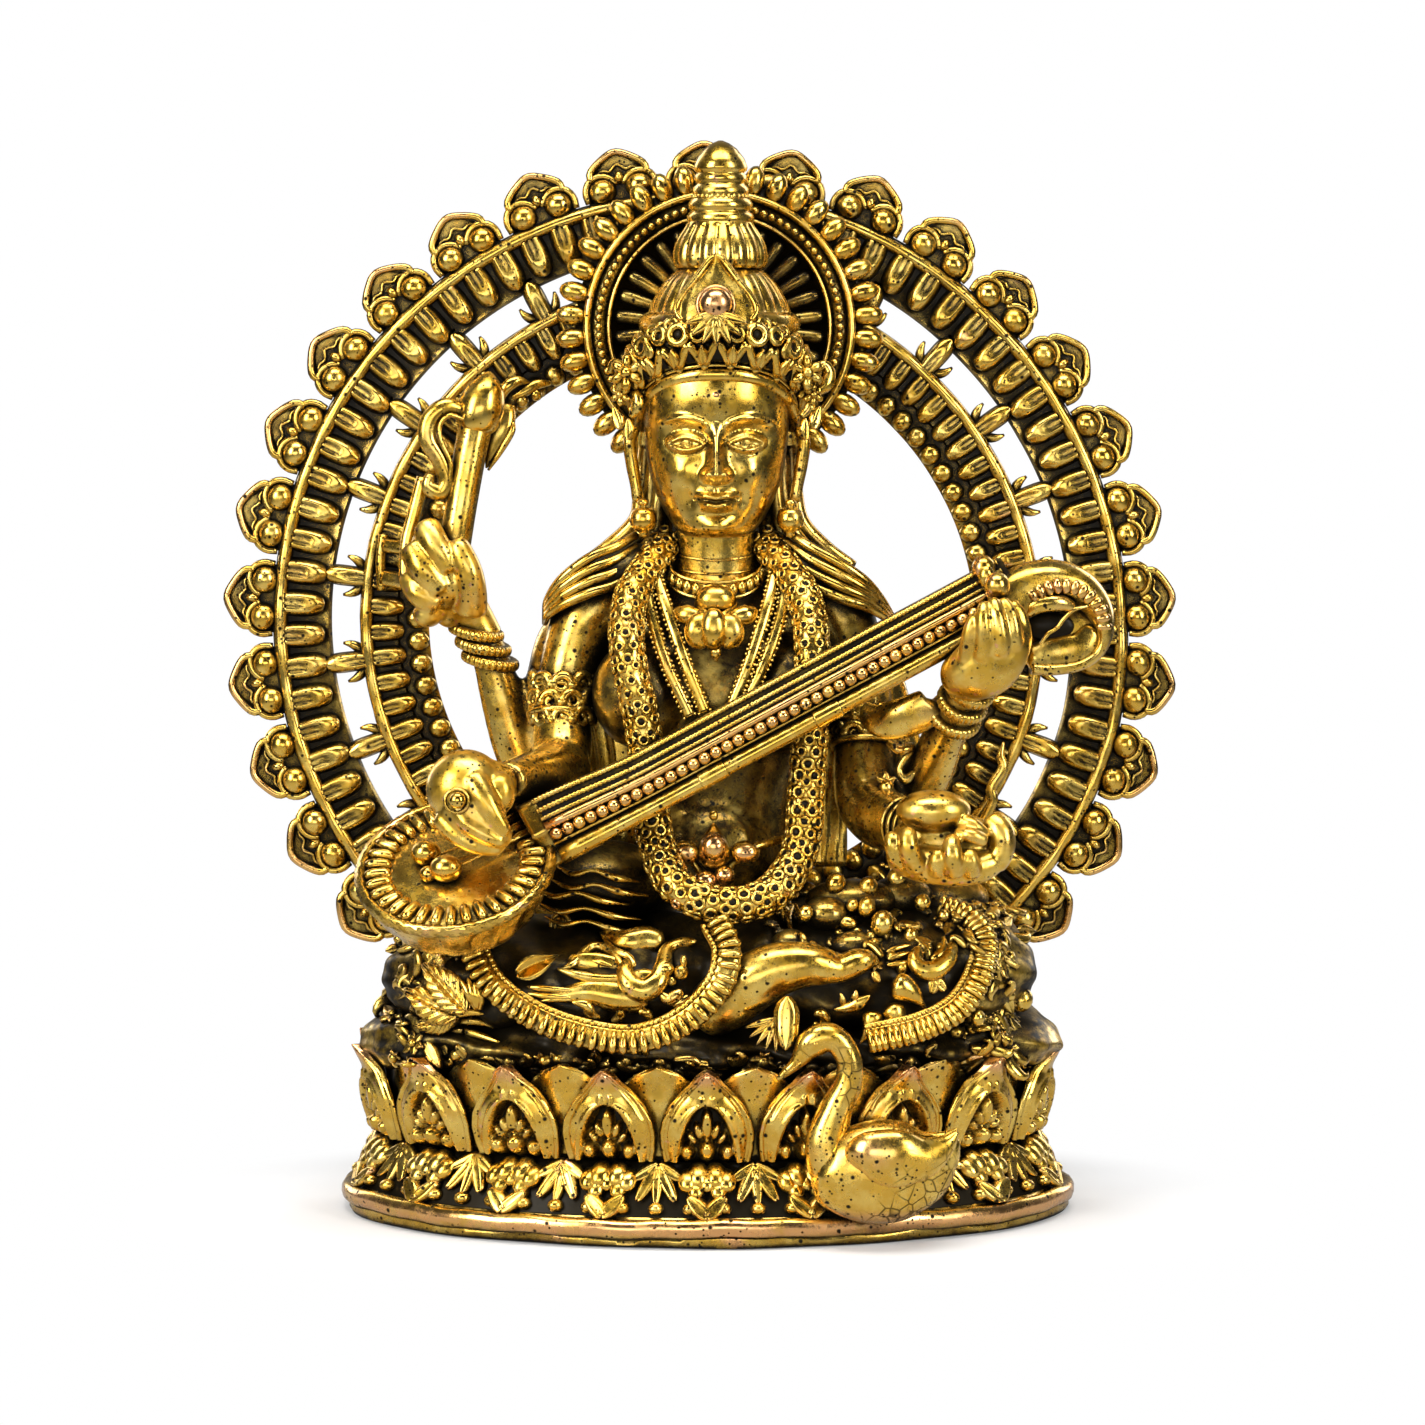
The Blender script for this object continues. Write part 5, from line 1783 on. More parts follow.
folded_leaf = pillow(lambda v: 1.25 * np.sin(np.pi * np.clip(0.04 + 0.94 * v, 0, 1) ** 0.7) + 0.02, 5.0,
                     lambda u, v: (0.35 + 0.75 * np.abs(u + 0.25)
                                   - 0.35 * np.exp(-(((np.abs(u) - 0.9) / 0.1) ** 2))),
                     plain_back, rows=26, across=17)
drop_shape = tube([[0, 0, 0.4, 0.75, 0.7], [0, 0.7, 0.5, 1.05, 0.85], [0.15, 1.7, 0.5, 0.8, 0.7],
                   [0.55, 2.7, 0.35, 0.3, 0.3], [0.9, 3.4, 0.2, 0.06, 0.06]], sides=16, count=20,
                   side=(0, 0, 1),
                  rounded=0.16)
upright_leaf = pillow(lambda v: 1.12 * np.interp(v, [0, 0.12, 0.3, 0.7, 0.9, 1],
                                                 [0.25, 0.75, 1, 0.95, 0.6, 0.05]), 4.6,
                      lambda u, v: 0.5 + 0.35 * (1 - u * u) - 0.3 * smoothstep(0.72, 0.82, np.abs(u)),
                      plain_back, rows=24, across=25)
little_fan = joined([turned(leaf_shape(3.0, 0.36, 0.5), turn) for turn in (-40, -22, -4, 14, 32)])
thigh_fold = tube([[-14.7, -8.0, 33.5, 0.1, 0.2], [-13, -9.2, 32.9, 0.3, 0.4], [-10.9, -9.6, 33.3, 0.2, 0.3],
                   [-8.7, -9.6, 32.6, 0.34, 0.4], [-6.2, -8.6, 32.1, 0.1, 0.2]], sides=10, count=30)
left_lap = [
    # The folded cloth end that hangs like a loop, and the wing-shaped leaf above it.
    stroke([[-6.8, 25.6, 0.45], [-7.4, 24.5, 0.7], [-6.9, 23.4, 0.9], [-5.7, 22.9, 0.95], [-4.5, 23.7, 0.85],
            [-4, 24.9, 0.7], [-3.6, 26.2, 0.55], [-2.3, 26.7, 0.5], [-0.9, 26.9, 0.35]], 0.9),
    laid(ball((0, 0, 0), (1.5, 0.9, 0.5)), -5.7, 23.9, 0, 1.0, 0.6),
    stroke([[-9.9, 27.4, 0.15], [-8.6, 26.9, 0.75], [-7.2, 26.7, 1.05], [-5.4, 26.9, 1.1], [-3.9, 26.7, 0.7]],
           0.7, 0.7),
    stroke([[-9.7, 27.2, 0.1], [-8.5, 26.2, 0.28], [-7.2, 25.7, 0.3], [-6.5, 24.9, 0.25]], 1.1),
    # The triangular leaf with a raised border.
    laid(ball((0, 0, 0), (2.9, 1.05, 0.35)), -9.9, 25, 8, 1.0, 0.25),
    stroke([[-13.7, 24.7, 0.12], [-11.9, 24.2, 0.34], [-9.7, 23.9, 0.36], [-7.4, 23.9, 0.36]], 0.7),
    stroke([[-13.4, 24.6, 0.12], [-12.1, 25.1, 0.3], [-11.2, 26, 0.34], [-10.3, 26.4, 0.36],
            [-9.2, 26.2, 0.34], [-8.1, 25.4, 0.3], [-7.5, 24.2, 0.25]], 0.7),
    stroke([[-10.6, 25.4, 0.12], [-9.7, 25.2, 0.22], [-8.6, 24.9, 0.12]], 0.8),
    laid(folded_leaf, -17.2, 24.1, 66, 0.86, 0.5),
    # The oval flower, the long flattened band with its strands, and the curls below.
    laid(joined([ball((0, 0, 0.1), (0.75, 0.95, 0.3)), ring_form(0.95, 0.26, 24, 6, 1.2),
                 ball((-0.28, 0, 0.35), (0.16, 0.6, 0.2)), ball((0.28, 0, 0.35), (0.16, 0.6, 0.2))]),
                 -13.6, 27.6, 8, 1.0, 0.5),
    stroke([[-16.3, 22.8, 0.2], [-13.4, 22.4, 0.5], [-10.7, 22.7, 0.95], [-8.1, 22.3, 1.25],
            [-5.2, 21.8, 0.9]],
           0.2, 0.6),
    stroke([[-16.4, 23.1, 0.1], [-14.8, 23, 0.26], [-12, 22.8, 0.16]], 0.6),
    stroke([[-16.4, 22.5, 0.1], [-14.5, 22.3, 0.26], [-12.3, 22.2, 0.16]], 0.6),
    stroke([[-15.4, 21.7, 0.1], [-13.9, 22, 0.24], [-12.1, 22, 0.14]], 0.5),
    stroke([[-12.3, 21.8, 0.12], [-11, 21.5, 0.42], [-10.5, 20.7, 0.48], [-9.6, 20.2, 0.15]], 0.7),
    stroke([[-8.7, 19.9, 0.15], [-7.9, 20.5, 0.42], [-8, 21.3, 0.2]], 0.8),
    stroke([[-6.3, 20.9, 0.2], [-5.5, 20.8, 0.38], [-5.2, 20.1, 0.3], [-5.7, 19.6, 0.12]], 0.8),
    laid(joined([ball((-0.75, 0.2, 0.2), (0.85, 0.7, 0.6)), ball((0.65, -0.1, 0.2), (0.7, 0.75, 0.6)),
                 ball((-0.2, -0.9, 0.1), (0.45, 0.5, 0.4)), ball((0.9, 0.9, 0.1), (0.35, 0.6, 0.35))]),
                 -3, 24.5, 0, 1.0, 0.7),
    stroke([[-4.3, 22.7, 0.2], [-3.5, 22.1, 0.5], [-2.7, 22.5, 0.45], [-2.3, 23, 0.2]], 0.8),
    stroke([[-3.2, 21.5, 0.2], [-2.3, 21.8, 0.4], [-1.6, 22.4, 0.2]], 0.7),
    dots([[-14.4, 29.9], [-11.9, 29.3], [-9.4, 29.1], [-7.2, 29.2]], 15, 0.24),
    stroke([[-14.7, 29.6, 0.15], [-11.9, 28.9, 0.3], [-9.4, 28.6, 0.3], [-6.8, 28.7, 0.2]], 0.1),
    *[moved(thigh_fold, (dx, -0.1, -dz), (stretch, 1, 1)) for dx, dz, stretch in (
        (-0.6, 0.2, 0.9), (1.2, 1.5, 1.05), (-1.0, 2.3, 1.0), (0.8, 3.7, 1.1), (-0.2, 4.9, 1.0))],
]
right_lap = [
    laid(upright_leaf, 7.2, 22.9, 181, 1.05, 4.3),
    laid(little_fan, 6.3, 20.6, 214, 1.0, 3.2),
    stroke([[9.6, 20.6, 0.15], [10.3, 20.8, 0.35], [10.8, 20.2, 0.4], [10.3, 19.5, 0.35], [9.7, 19.8, 0.3]],
           1.0),
    stroke([[11.5, 21.1, 0.08], [12.7, 21.3, 0.42], [13.8, 21.8, 0.5], [14.8, 22.5, 0.08]], 0.9),
    stroke([[13, 21.7, 0.1], [13.4, 22.4, 0.26], [13.5, 23, 0.08]], 0.9),
    stroke([[12.3, 21.4, 0.1], [12.3, 22, 0.26], [12.1, 22.7, 0.08]], 0.8),
    laid(drop_shape, 15.1, 21, 190, 0.95, 0.8),
    laid(drop_shape, 16.6, 21.7, 160, 1.05, 0.8),
    laid(drop_shape, 16.6, 23.6, 112, 1.2, 0.8),
    laid(plain_leaf, 20.3, 22.5, 20, 1.1, 0.6), laid(plain_leaf, 21.6, 22.7, -40, 0.9, 0.6),
    stroke([[19.9, 26.1, 0.35], [19.3, 26.2, 0.5], [18.9, 25.5, 0.62], [19.5, 24.7, 0.75], [20.6, 24.6, 0.8],
            [21.7, 25.3, 0.7], [22.3, 26.2, 0.5], [22.4, 27.4, 0.2]], 0.9),
    stroke([[20.3, 25.5, 0.2], [21, 25.8, 0.4], [21.6, 26.5, 0.35], [21.6, 27.4, 0.15]], 0.9),
    stroke([[16.8, 27.3, 0.15], [16.6, 28.2, 0.4], [17.2, 29, 0.45], [18.1, 29, 0.15]], 0.6),
    laid(joined([ball((-0.9, 0, 0.3), (0.8, 0.6, 0.6)), ball((0.3, 0.35, 0.35), (0.95, 0.65, 0.6)),
                 ball((1.3, -0.2, 0.2), (0.6, 0.55, 0.45)), ball((-0.1, -0.7, 0.2), (0.5, 0.4, 0.4))]),
                 12.5, 28.2, 18, 1.05, 0.6),
    stroke([[7.7, 27.8, 0.15], [7.5, 28.7, 0.3], [8, 29.3, 0.3], [8.7, 28.7, 0.12]], 0.7),
    stroke([[16.3, 26.2, 0.1], [17.4, 26.5, 0.22], [18.6, 26.7, 0.08]], 0.5),
    stroke([[16.4, 25.6, 0.1], [17.5, 25.9, 0.22], [18.6, 26.1, 0.08]], 0.5),
    stroke([[16.3, 25.1, 0.1], [17.4, 25.2, 0.22], [18.5, 25.4, 0.08]], 0.5),
    stroke([[25.2, 27.8, 0.15], [26.5, 27.4, 0.5], [27.6, 26.5, 0.5], [28.2, 25.7, 0.2]], 0.3),
    stroke([[25.9, 24.3, 0.35], [26.3, 25.4, 0.5], [26.8, 26.2, 0.45], [27.6, 26.5, 0.2]], 0.6),
    stroke([[25.3, 22.4, 0.2], [26.5, 22.9, 0.5], [27.7, 22.8, 0.5], [27.9, 21.8, 0.5], [26.9, 21.3, 0.3]],
           0.5),
    stroke([[25.8, 23.1, 0.3], [26.3, 23.8, 0.4], [27.2, 24.1, 0.25]], 0.5),
    dots([[16.3, 33], [18.9, 31.8], [21.6, 30.6], [24.4, 29.5], [26.6, 28.2]], 26, 0.25, 0.0),
    laid(little_fan, 26.3, 18.4, -14, 0.9, 0.6),
    laid(small_rosette, 27.2, 19.9, 0, 1.1, 0.3),
]
make_piece("lap_left_work", left_lap, gilt_petal)
make_piece("lap_right_work", right_lap, gilt_petal)
berry_places = np.array([[11.8, -9.5, 31.8, 0.95], [14.8, -9.5, 31.5, 0.9], [14.6, -11.5, 29.9, 0.85],
                         [16, -12.6, 28.6, 1.1], [18.6, -12.6, 27.5, 0.7], [17.5, -7.6, 32.1, 0.9],
                         [9, -12.5, 29.5, 0.7], [24.6, -15.2, 20.3, 0.65], [19.8, -9.6, 30.1, 0.75],
                         [9.5, -14.6, 26.6, 0.6], [21.8, -9.6, 28.9, 0.6], [29.1, -8.5, 20.9, 1.0],
                         [13.3, -11.5, 30.1, 0.55], [17.8, -14.4, 24.8, 0.6]])
berries = copies(ball((0, 0, 0), (1.0, 1.15, 0.9), around=16, rows=10), berry_places[:, :3], (0.3, 0, 1),
                 (0, -1, 0.15), berry_places[:, 3])
make_piece("lap_berries", berries, gilt_petal)
mounds = [ball((10.9, -10.6, 29.2), (2.2, 2.0, 1.6), around=28, rows=18),
          ball((7.6, -12.6, 26.6), (1.8, 1.6, 1.5), around=28, rows=18),
          ball((13.4, -8.0, 30.2), (4.4, 2.6, 1.9), around=28, rows=18),
          ball((17.9, -6.6, 30.3), (3.0, 2.6, 1.9), around=28, rows=18),
          ball((13.5, -12.6, 26.5), (2.4, 1.6, 1.4), around=28, rows=18)]
make_piece("lap_mounds", mounds, gilt_cloth)

# %% [markdown]
# The calf and foot come out from under the cloth towards the right, quite smooth. The pleated hems
# are flat bands with nearly forty rounded ribs across and a beaded inner edge.

# %% Calf, foot and hems
calf = [
    tube([[-0.8, -13.2, 20, 2.2, 2.0], [1.4, -14.6, 21.6, 2.8, 2.4], [3.7, -15.6, 23.4, 2.75, 2.5],
          [6.2, -16, 24.8, 2.5, 2.3], [8.8, -16, 25.3, 2.1, 2.1], [10.6, -15.9, 25.1, 1.75, 1.8],
          [12.1, -15.7, 24.9, 1.3, 1.5], [13.4, -15.6, 25.4, 1.25, 1.4], [14.5, -15.4, 25.6, 1.05, 1.2],
          [15.5, -15.2, 25.4, 0.5, 0.7]], sides=36, count=70, side=(0, -1, 0), rounded=0.05),
]
melted(make_piece("foot", calf, gilt_smooth), 0.22, 5)


HEM_STATIONS = 160


def band_frame(stations, facing):
    """Along, outward and sideways directions at each station of a band that looks towards facing."""
    facing = np.asarray(facing, float)
    along = unit(np.gradient(stations, axis=0))
    out = unit(facing - along * (along @ facing)[:, None])
    return along, out, np.cross(along, out)


def hem(line, count, width):
    """Ribs across a band, a beaded inner edge and the flat band itself, along a smooth curve."""
    stations = smooth_curve(line, HEM_STATIONS)
    along, out, across = band_frame(stations, (0, -1, 0.25))
    pick = np.linspace(2, HEM_STATIONS - 3, count).astype(int)
    rib = tube([[0, -0.85 * width, 0.1, 0.24, 0.3], [0, -0.3 * width, 0.35, 0.33, 0.42],
                [0, 0.5 * width, 0.45, 0.4, 0.5], [0, 1.1 * width, 0.1, 0.36, 0.45]], sides=8, count=9,
               side=(0, 0, 1), rounded=0.12)
    ribs_made = copies(rib, stations[pick], across[pick], out[pick])
    edge = even_tube(stations - across * width * 1.1 + out * 0.2, 0.24, sides=8, count=HEM_STATIONS)
    edge_pick = np.linspace(1, HEM_STATIONS - 2, int(1.6 * count)).astype(int)
    beads = copies(ball((0, 0, 0), (0.26, 0.26, 0.24), around=8, rows=5),
                   stations[edge_pick] - across[edge_pick] * width * 1.02 + out[edge_pick] * 0.3,
                   across[edge_pick], out[edge_pick])
    base_band = even_tube(stations, width, 0.35, sides=10, count=HEM_STATIONS)
    return [ribs_made, beads, edge, base_band]


hem_left = hem([[-21.7, -11.5, 26.4], [-19.6, -14, 23.1], [-15.6, -15.6, 20.4], [-10.6, -17, 18.9],
                [-6, -17.8, 18.7], [-1.7, -18.2, 20.6], [1.2, -18.4, 23.8], [1.9, -17.4, 26.8],
                [0.8, -14.6, 29]], 38, 1.15)
hem_right = hem([[14.5, -17.4, 18.6], [19.3, -16.8, 19.6], [22.8, -15.6, 21.3], [24.8, -14, 24.1],
                 [25.3, -11.5, 26.9], [23.8, -9.5, 28.7], [21.5, -8, 29.4]], 36, 1.15)
make_piece("hems", [*hem_left, *hem_right], gilt_petal)

# %% [markdown]
# ## Hair, shawl and jewellery
#
# The hair falls behind the ears and turns outwards; the shawl lies over each shoulder in four thin
# folds. At the back both end in one plain mass, as on many cast figures that stand against a halo.

# %% Hair and shawl


def strands(angle, v):
    """Hair in wavy strands."""
    return 0.03 * np.cos(30 * angle + 3 * np.sin(6 * v))


back_hair = tube([[0.85, 2.6, 81.0, 5.4, 3.0], [0.85, 3.0, 75, 7.0, 3.2], [0.85, 3.4, 69, 7.5, 3.0],
                  [0.85, 3.6, 63.5, 7.0, 2.6], [0.85, 3.4, 59, 9.4, 2.6], [0.85, 3.2, 55, 13.6, 2.8],
                  [0.85, 3.2, 50, 14.0, 2.4], [0.85, 3.0, 42, 12.5, 2.2], [0.85, 2.6, 32, 12, 2.4]],
                  sides=150,
                 count=90, relief=strands)
make_piece("back_hair", back_hair, gilt_relief)
side_locks = [
    (1, tube([[-6.2, 1, 71.8, 0.7], [-6.7, 1, 67.6, 0.75], [-7.2, 1, 64.8, 0.75], [-9.7, 1, 62.3, 0.75],
              [-12.4, 0, 60.5, 0.6]], count=40)),
    (-1, tube([[8.3, 1, 71.8, 0.7], [8.7, 1, 67.6, 0.75], [9.4, 1, 64.6, 0.75], [11.7, 1, 62.1, 0.75],
               [14.1, 0, 60.5, 0.6]], count=40))]
locks = [moved(lock, (side * (0.5 + 0.8 * k), -0.55 * k, -0.9 * k))
         for k in range(3) for side, lock in side_locks]
shoulders = np.array([
    [[-6.6, -1.2, 63.5, 0.4], [-8.5, -2.8, 62.5, 0.44], [-10.9, -3.4, 61.5, 0.48], [-13.5, -2.9, 59.5, 0.46],
     [-14.8, -1.7, 57.5, 0.44], [-15.2, 0.4, 55.8, 0.3]],
    [[7.3, -1.2, 64, 0.4], [9.4, -2.8, 62.6, 0.44], [12.1, -3.4, 61.1, 0.48], [14.6, -2.9, 59.4, 0.46],
     [16.2, -1.7, 57.5, 0.44], [17.4, 0.2, 55.7, 0.3]]])
fold_step = np.outer([1.0, 1.15, 1.08, 0.8, 0.45, 0.2], [0, 0.14, 1, 0])  # how each fold lies below the last
shawl_folds = [tube(line - k * fold_step, count=44) for k in range(4) for line in shoulders]
shoulder_cover = [
    tube([[-4.9, 0, 60.9, 2.2, 3.2], [-10, -0.4, 59.5, 1.9, 3.2], [-13.4, -0.2, 57.6, 1.4, 2.8],
          [-14.5, 0.2, 56.2, 0.5, 1.4]], sides=30, count=30, rounded=0.1),
    tube([[6.3, 0, 60.9, 2.2, 3.2], [11.5, -0.4, 59.4, 1.9, 3.2], [14.7, -0.2, 57.6, 1.4, 2.8],
          [16.4, 0.2, 56.2, 0.5, 1.4]], sides=30, count=30, rounded=0.1)]
make_piece("shawl", [*locks, *shawl_folds], gilt_relief)
make_piece("shawl_ground", shoulder_cover, gilt_dark)

# %% [markdown]
# The long garland is a thick rope of tiny flowers: its skin is covered with staggered little rings
# round dark holes. Rings are set row by row along the rope, each row turned by half a step.

# %% Garland
GARLAND_RADIUS, GARLAND_STATIONS = 1.5, 150
garland_line = smooth_curve([[-3.8, 0, 62.9], [-7.1, -5.7, 57.7], [-7.2, -8.3, 52.4], [-6, -8.3, 46.8],
                             [-5.3, -8.3, 41.2], [-4.7, -9.5, 35.8], [-2.5, -12.1, 31.7],
                             [1.7, -12.9, 30.3], [5.8, -12.1, 31.3], [8.5, -9.5, 34.9], [9.1, -8.5, 40.4],
                             [9.5, -8.5, 46.8], [9.7, -8.5, 52.4], [9, -5.7, 57.7], [5.5, 0, 62.9]],
                            GARLAND_STATIONS)
garland_along = unit(np.gradient(garland_line, axis=0))
garland_side = unit(np.cross(garland_along, [0.2, -1, 0.1]))
garland_face = np.cross(garland_side, garland_along)
rope = even_tube(garland_line, GARLAND_RADIUS, sides=40, count=2 * GARLAND_STATIONS,
                 relief=lambda angle, v: 0.04 * np.cos(6 * angle) * np.cos(TURN * 60 * v))
ROWS, ROUND = 88, 7
row = np.round(np.linspace(0, GARLAND_STATIONS - 1, ROWS)).astype(int)[:, None]
spot_angle = (np.arange(ROUND)[None, :] + 0.5 * (np.arange(ROWS)[:, None] % 2)) * TURN / ROUND
outward = (garland_side[row] * np.cos(spot_angle)[..., None]
           + garland_face[row] * np.sin(spot_angle)[..., None])
ring_at = garland_line[row] + outward * (GARLAND_RADIUS + 0.02)
ring_size = chance.uniform(0.85, 1.12, (ROWS, ROUND)) * np.interp(ring_at[..., 2], [40, 50], [1.0, 0.78])
along_row = np.broadcast_to(garland_along[row], outward.shape)
places = [a.reshape(-1, 3) for a in (ring_at, along_row, outward)]
make_piece("garland_rope", rope, gilt_petal)
make_piece("garland_rings", copies(ring_form(0.5, 0.2, 10, 6), *places, ring_size.reshape(-1)), gilt_petal)
make_piece("garland_holes", copies(ball((0, 0, 0), (0.36, 0.36, 0.13), around=8, rows=4), *places,
                                   ring_size.reshape(-1)), gilt_black)

# %% [markdown]
# Necklace, pendant, sashes and belt lie on the chest. A sash is a flat band with a string of dots
# along both edges.

# %% Chest jewellery


BAND_STATIONS = 60
BAND_THICK, DOT, DOT_PITCH = 0.35, 0.17, 0.5


def dotted_band(line, width):
    """A flat band along a line, with dots along both edges."""
    stations = smooth_curve(line, BAND_STATIONS)
    along, out, across = band_frame(stations, (0, -1, 0))
    length = np.linalg.norm(np.diff(stations, axis=0), axis=1).sum()
    pick = np.linspace(0, BAND_STATIONS - 1, max(3, int(length / DOT_PITCH))).astype(int)
    small = ball((0, 0, 0), DOT, around=6, rows=4)
    edges = [copies(small, (stations[pick] + side * across[pick] * width * 0.95
                            + out[pick] * BAND_THICK * 0.75), along[pick], out[pick]) for side in (-1, 1)]
    return [even_tube(stations, width, BAND_THICK, sides=12, count=BAND_STATIONS), *edges]


sashes = []
for band_line in ([[-4.8, -3.6, 59.9], [-3.6, -5.6, 56.6], [-1.9, -7.0, 51.8], [-0.2, -7.4, 47.5]],
                  [[-5.9, -3.6, 59.9], [-5, -5.8, 55.7], [-3.6, -7.0, 51.5], [-1.6, -7.2, 47.1]],
                  [[6.3, -3.6, 59.9], [5.4, -5.6, 56.6], [3.8, -7.0, 51.8], [2.3, -7.4, 48]],
                  [[7.5, -3.6, 59.9], [6.7, -5.8, 55.7], [5.1, -7.0, 51.5], [3.2, -7.2, 47.5]]):
    sashes += dotted_band(band_line, 0.58)
make_piece("sashes", sashes, gilt_bright)

choker_line = smooth_curve([[-3.6, -1.4, 60.3], [-3.1, -3.2, 59.4], [-1.4, -4.2, 58.7], [0.8, -4.5, 58.5],
                            [3, -4.2, 58.7], [4.6, -3.2, 59.4], [5.3, -1.4, 60.3]], BAND_STATIONS)
link = ball((0, 0, 0), (0.46, 0.66, 0.4), around=8, rows=6)
pick = np.linspace(1, BAND_STATIONS - 2, 15).astype(int)
choker = [copies(link, choker_line[pick], (0, 0, 1), unit((choker_line[pick] - [0.8, 1.5, 0]) * [1, 1, 0])),
          *[even_tube(choker_line + [0, -0.1, rise], 0.16, sides=6, count=BAND_STATIONS)
            for rise in (-0.75, 0.75)]]
pendant = [
    ball((0.8, -5.4, 57.7), (1.95, 1.5, 1.5), around=32, rows=20),
    tube([[-1, -5.2, 57.3, 0.25], [-0.2, -6.6, 56.6, 0.32], [0.8, -7.0, 56.3, 0.34], [1.8, -6.6, 56.6, 0.32],
          [2.7, -5.2, 57.3, 0.25]], sides=8, count=24),
    tube([[-0.1, -6.0, 56.1, 0.4, 0.5], [-1.1, -6.2, 56.2, 0.85, 0.8], [-2.1, -6.0, 56.4, 0.95, 0.8],
          [-3, -5.6, 56.9, 0.3, 0.4]], sides=16, count=24, rounded=0.08),
    tube([[1.7, -6.0, 56.1, 0.4, 0.5], [2.8, -6.2, 56.2, 0.85, 0.8], [3.8, -6.0, 56.4, 0.95, 0.8],
          [4.6, -5.6, 56.9, 0.3, 0.4]], sides=16, count=24, rounded=0.08),
    ball((0.6, -7.2, 55.1), (1.35, 1.2, 2.0), around=24, rows=16),
    tube([[0.3, -6.6, 56.1, 0.6, 0.6], [-0.7, -7.0, 55.4, 1.25, 0.9], [-0.8, -7.0, 54.3, 1.15, 0.9],
          [-0.1, -7.0, 53.4, 0.4, 0.5]], sides=20, count=24, rounded=0.08),
    tube([[1.2, -6.6, 56.1, 0.6, 0.6], [2, -7.0, 55.4, 1.25, 0.9], [2.2, -7.0, 54.3, 1.15, 0.9],
          [1.5, -7.0, 53.4, 0.4, 0.5]], sides=20, count=24, rounded=0.08),
    ball((0.8, -7.0, 53), (0.55, 0.5, 0.75), around=14, rows=10),
    ball((0.8, -7.0, 52.4), (0.25, 0.25, 0.3), around=10, rows=6),
]
make_piece("necklace", [*choker, *pendant], gilt_bright)

belt = [
    tube([[0.6, -8.8, 33.2, 0.6, 0.6], [0.6, -9.4, 34.2, 1.5, 1.1], [0.6, -9.6, 35.4, 1.35, 1.1],
          [0.6, -9.0, 36.6, 0.7, 0.7], [0.6, -8.6, 37.4, 0.1, 0.2]], sides=40, count=40,
         relief=lambda angle, v: 0.1 * (np.abs(np.cos(3 * angle)) ** 0.6 - 1), rounded=0.1),
    ball((0.6, -10.2, 35.3), (1.15, 1.0, 1.4), around=24, rows=16),
    ball((-2, -9.4, 34.7), (1.35, 1.1, 1.15), around=24, rows=16),
    ball((3.5, -9.4, 34.7), (1.35, 1.1, 1.15), around=24, rows=16),
    ball((-0.2, -10.0, 32.1), (1.15, 1.0, 1.05), around=20, rows=14),
    ball((1.6, -9.8, 32.6), (0.95, 0.9, 1.0), around=20, rows=14),
    tube([[-1.6, -8.8, 34.3, 0.35], [-0.7, -9.0, 33, 0.4], [-0.1, -9.4, 32.4, 0.35]], sides=8),
    tube([[2.9, -8.8, 34.1, 0.35], [1.9, -9.0, 33.2, 0.4], [1.4, -9.2, 32.5, 0.35]], sides=8),
    tube([[-5.3, -6.5, 35.7, 0.4], [-2.5, -8.2, 35, 0.45], [0.6, -8.6, 34.6, 0.45], [4, -8.2, 35, 0.45],
          [7.2, -6.5, 35.7, 0.4]], sides=8, count=30),
    ball((0.6, -8.2, 38), (0.45, 0.4, 0.5), around=12, rows=8),
]
make_piece("belt", belt, gilt_bright, worn=lambda x, y, z: 0.7 * smoothstep(-10.0, -10.4, y))

# %% [markdown]
# Bangles are rings round a limb. Each is given by its middle, the limb's direction and its radius.

# %% Bangles and armlets


def bangle(centre, direction, radius, thickness):
    """A ring round a limb that runs along direction."""
    direction = unit(np.asarray(direction, float))
    helper = (0, 0, 1) if abs(direction[2]) < 0.8 else (1, 0, 0)
    return copies(ring_form(radius, thickness, 44, 10), centre, helper, direction)


def bangle_set(start, end, radii, thicknesses):
    """Several bangles at equal steps from start to end."""
    start, end = np.asarray(start, float), np.asarray(end, float)
    steps = np.linspace(0, 1, len(radii))
    return [bangle(start + (end - start) * s, end - start, r, t)
            for s, r, t in zip(steps, radii, thicknesses)]


def cuffs(start, end, radii, width, facing=None):
    """Ribbed cuffs side by side: turned bands whose radius waves round the limb like a cosine's size."""
    start, end = np.asarray(start, float), np.asarray(end, float)
    made = []
    for s, r in zip(np.linspace(0, 1, len(radii)), radii):
        band = spun([[r - 0.6, -width], [r, -width], [r + 0.25, -0.5 * width], [r + 0.25, 0.5 * width],
                     [r, width], [r - 0.6, width]], around=168, rounded=16,
                    relief=lambda angle, v: 0.05 * np.abs(np.cos(14 * angle)) * np.sin(np.pi * v))
        made.append(copies(band, start + (end - start) * s, (0, 1, 0), facing or end - start))
    return made


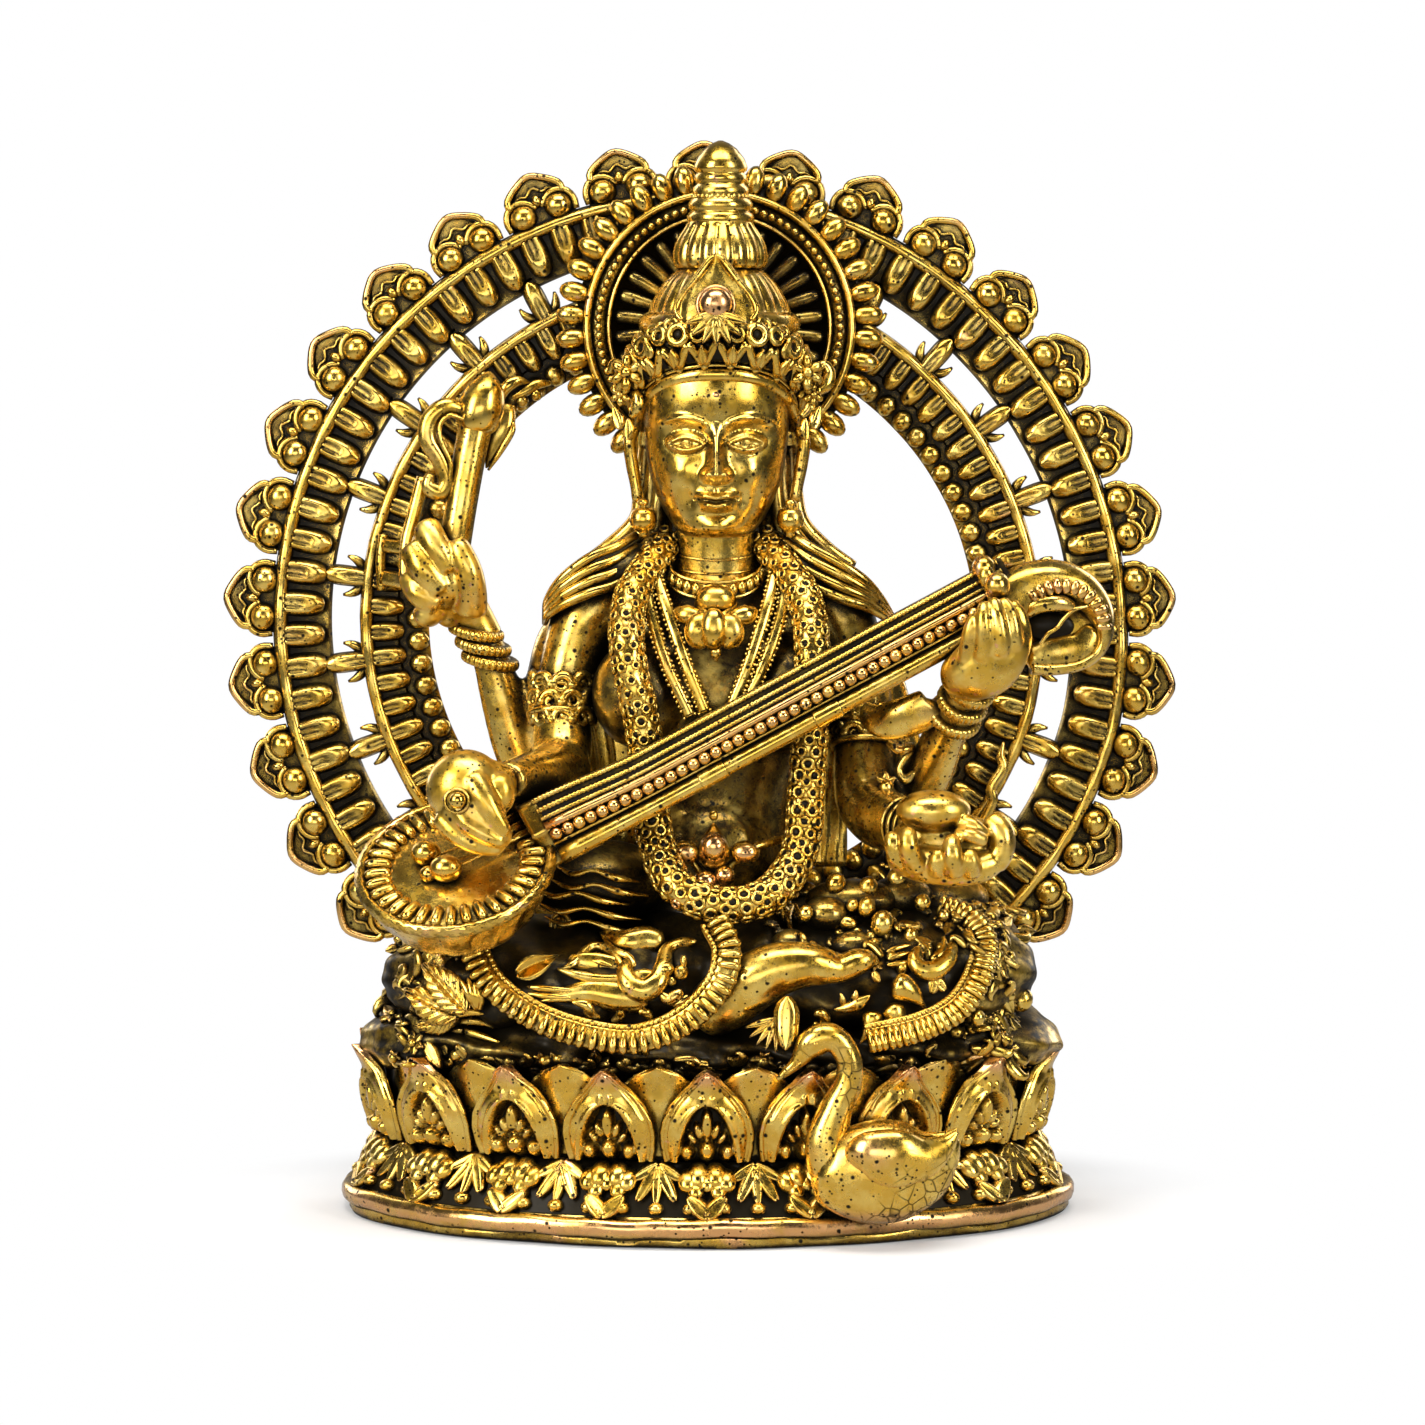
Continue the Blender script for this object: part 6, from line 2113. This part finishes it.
def armlet(centre, radius, rows):
    """Curls and pearls round the front of an upper arm, row under row, each row turned by half a step."""
    made = []
    for k in range(rows):
        for form, shift, size in ((scroll_form(1.0, 0.5, hand=1 - 2 * (k % 2)), 0, 1.0),
                                  (small_pearl, 16, 2.4)):
            turn = np.radians(np.arange(-80, 81, 40) + 1.25 * shift + 20 * (k % 2))
            out = np.stack([np.sin(turn), -np.cos(turn), 0 * turn], axis=1)
            made.append(copies(form, np.asarray(centre) + out * radius - [0, 0.35 * k, 1.55 * k], (0, 0, 1),
                               out, size))
    return made


bangles = [
    *cuffs((-21.8, 3, 54.2), (-20.5, 3.1, 51.5), [2.3, 2.35, 2.4], 0.52, (-0.22, 0.1, -1)),
    *cuffs((24, -11.2, 50), (22.7, -8.6, 47.2), [2.0, 2.1, 2.2], 0.55),
    *bangle_set((19.4, -13.4, 37.4), (18.1, -11.2, 37.5), [2.15, 2.3, 2.4, 2.5], [0.16, 0.16, 0.16, 0.16]),
    *bangle_set((-13.6, -0.6, 49), (-13.7, -1.4, 46.6), [2.95, 2.95], [0.3, 0.3]),
    *bangle_set((14.7, -1.2, 46), (14.7, -2.0, 43.9), [2.95, 2.95], [0.3, 0.3]),
]
armlets = [
    *armlet((-13.5, -0.5, 49.7), 2.85, 3), *armlet((14.7, -1.0, 46.8), 2.75, 2),
    copies(capped_berry(0.9), (16.5, -7.6, 40.5), (0, 0, 1), (0, -1, 0)),
]
make_piece("bangles", [*bangles, *armlets], gilt_relief)
sleeve = [tube([[14.3, -6, 47.9, 0.6, 0.4], [15.9, -8, 46.8, 1.6, 0.6], [18.1, -9, 47.1, 1.9, 0.7],
                [20.4, -9.6, 48.2, 1.7, 0.6], [20.9, -9.6, 48.8, 0.8, 0.4]], sides=20, count=40, rounded=0.1),
          tube([[16.7, -6, 44.6, 0.3], [17.8, -6.6, 43.9, 0.5], [18.9, -6, 44, 0.5], [17.8, -6, 42.2, 0.3],
                [18.3, -6, 41.1, 0.5], [19.2, -6, 41.8, 0.3]], sides=10, count=40)]
make_piece("sleeve_end", sleeve, gilt_relief)

# %% [markdown]
# ## Sizes
#
# The dressed model may not outgrow the solids, so both boxes are written down side by side.

# %% Sizes and finish
for name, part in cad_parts.items():
    if not part.hide_render:
        part.data.materials.clear()
        part.data.materials.append(gilt_relief)
low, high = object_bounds()
print("visual box, mm:", [round(1000 * v, 1) for v in (*low, *high)])
print("triangles in all:", sum(made_triangles.values()))
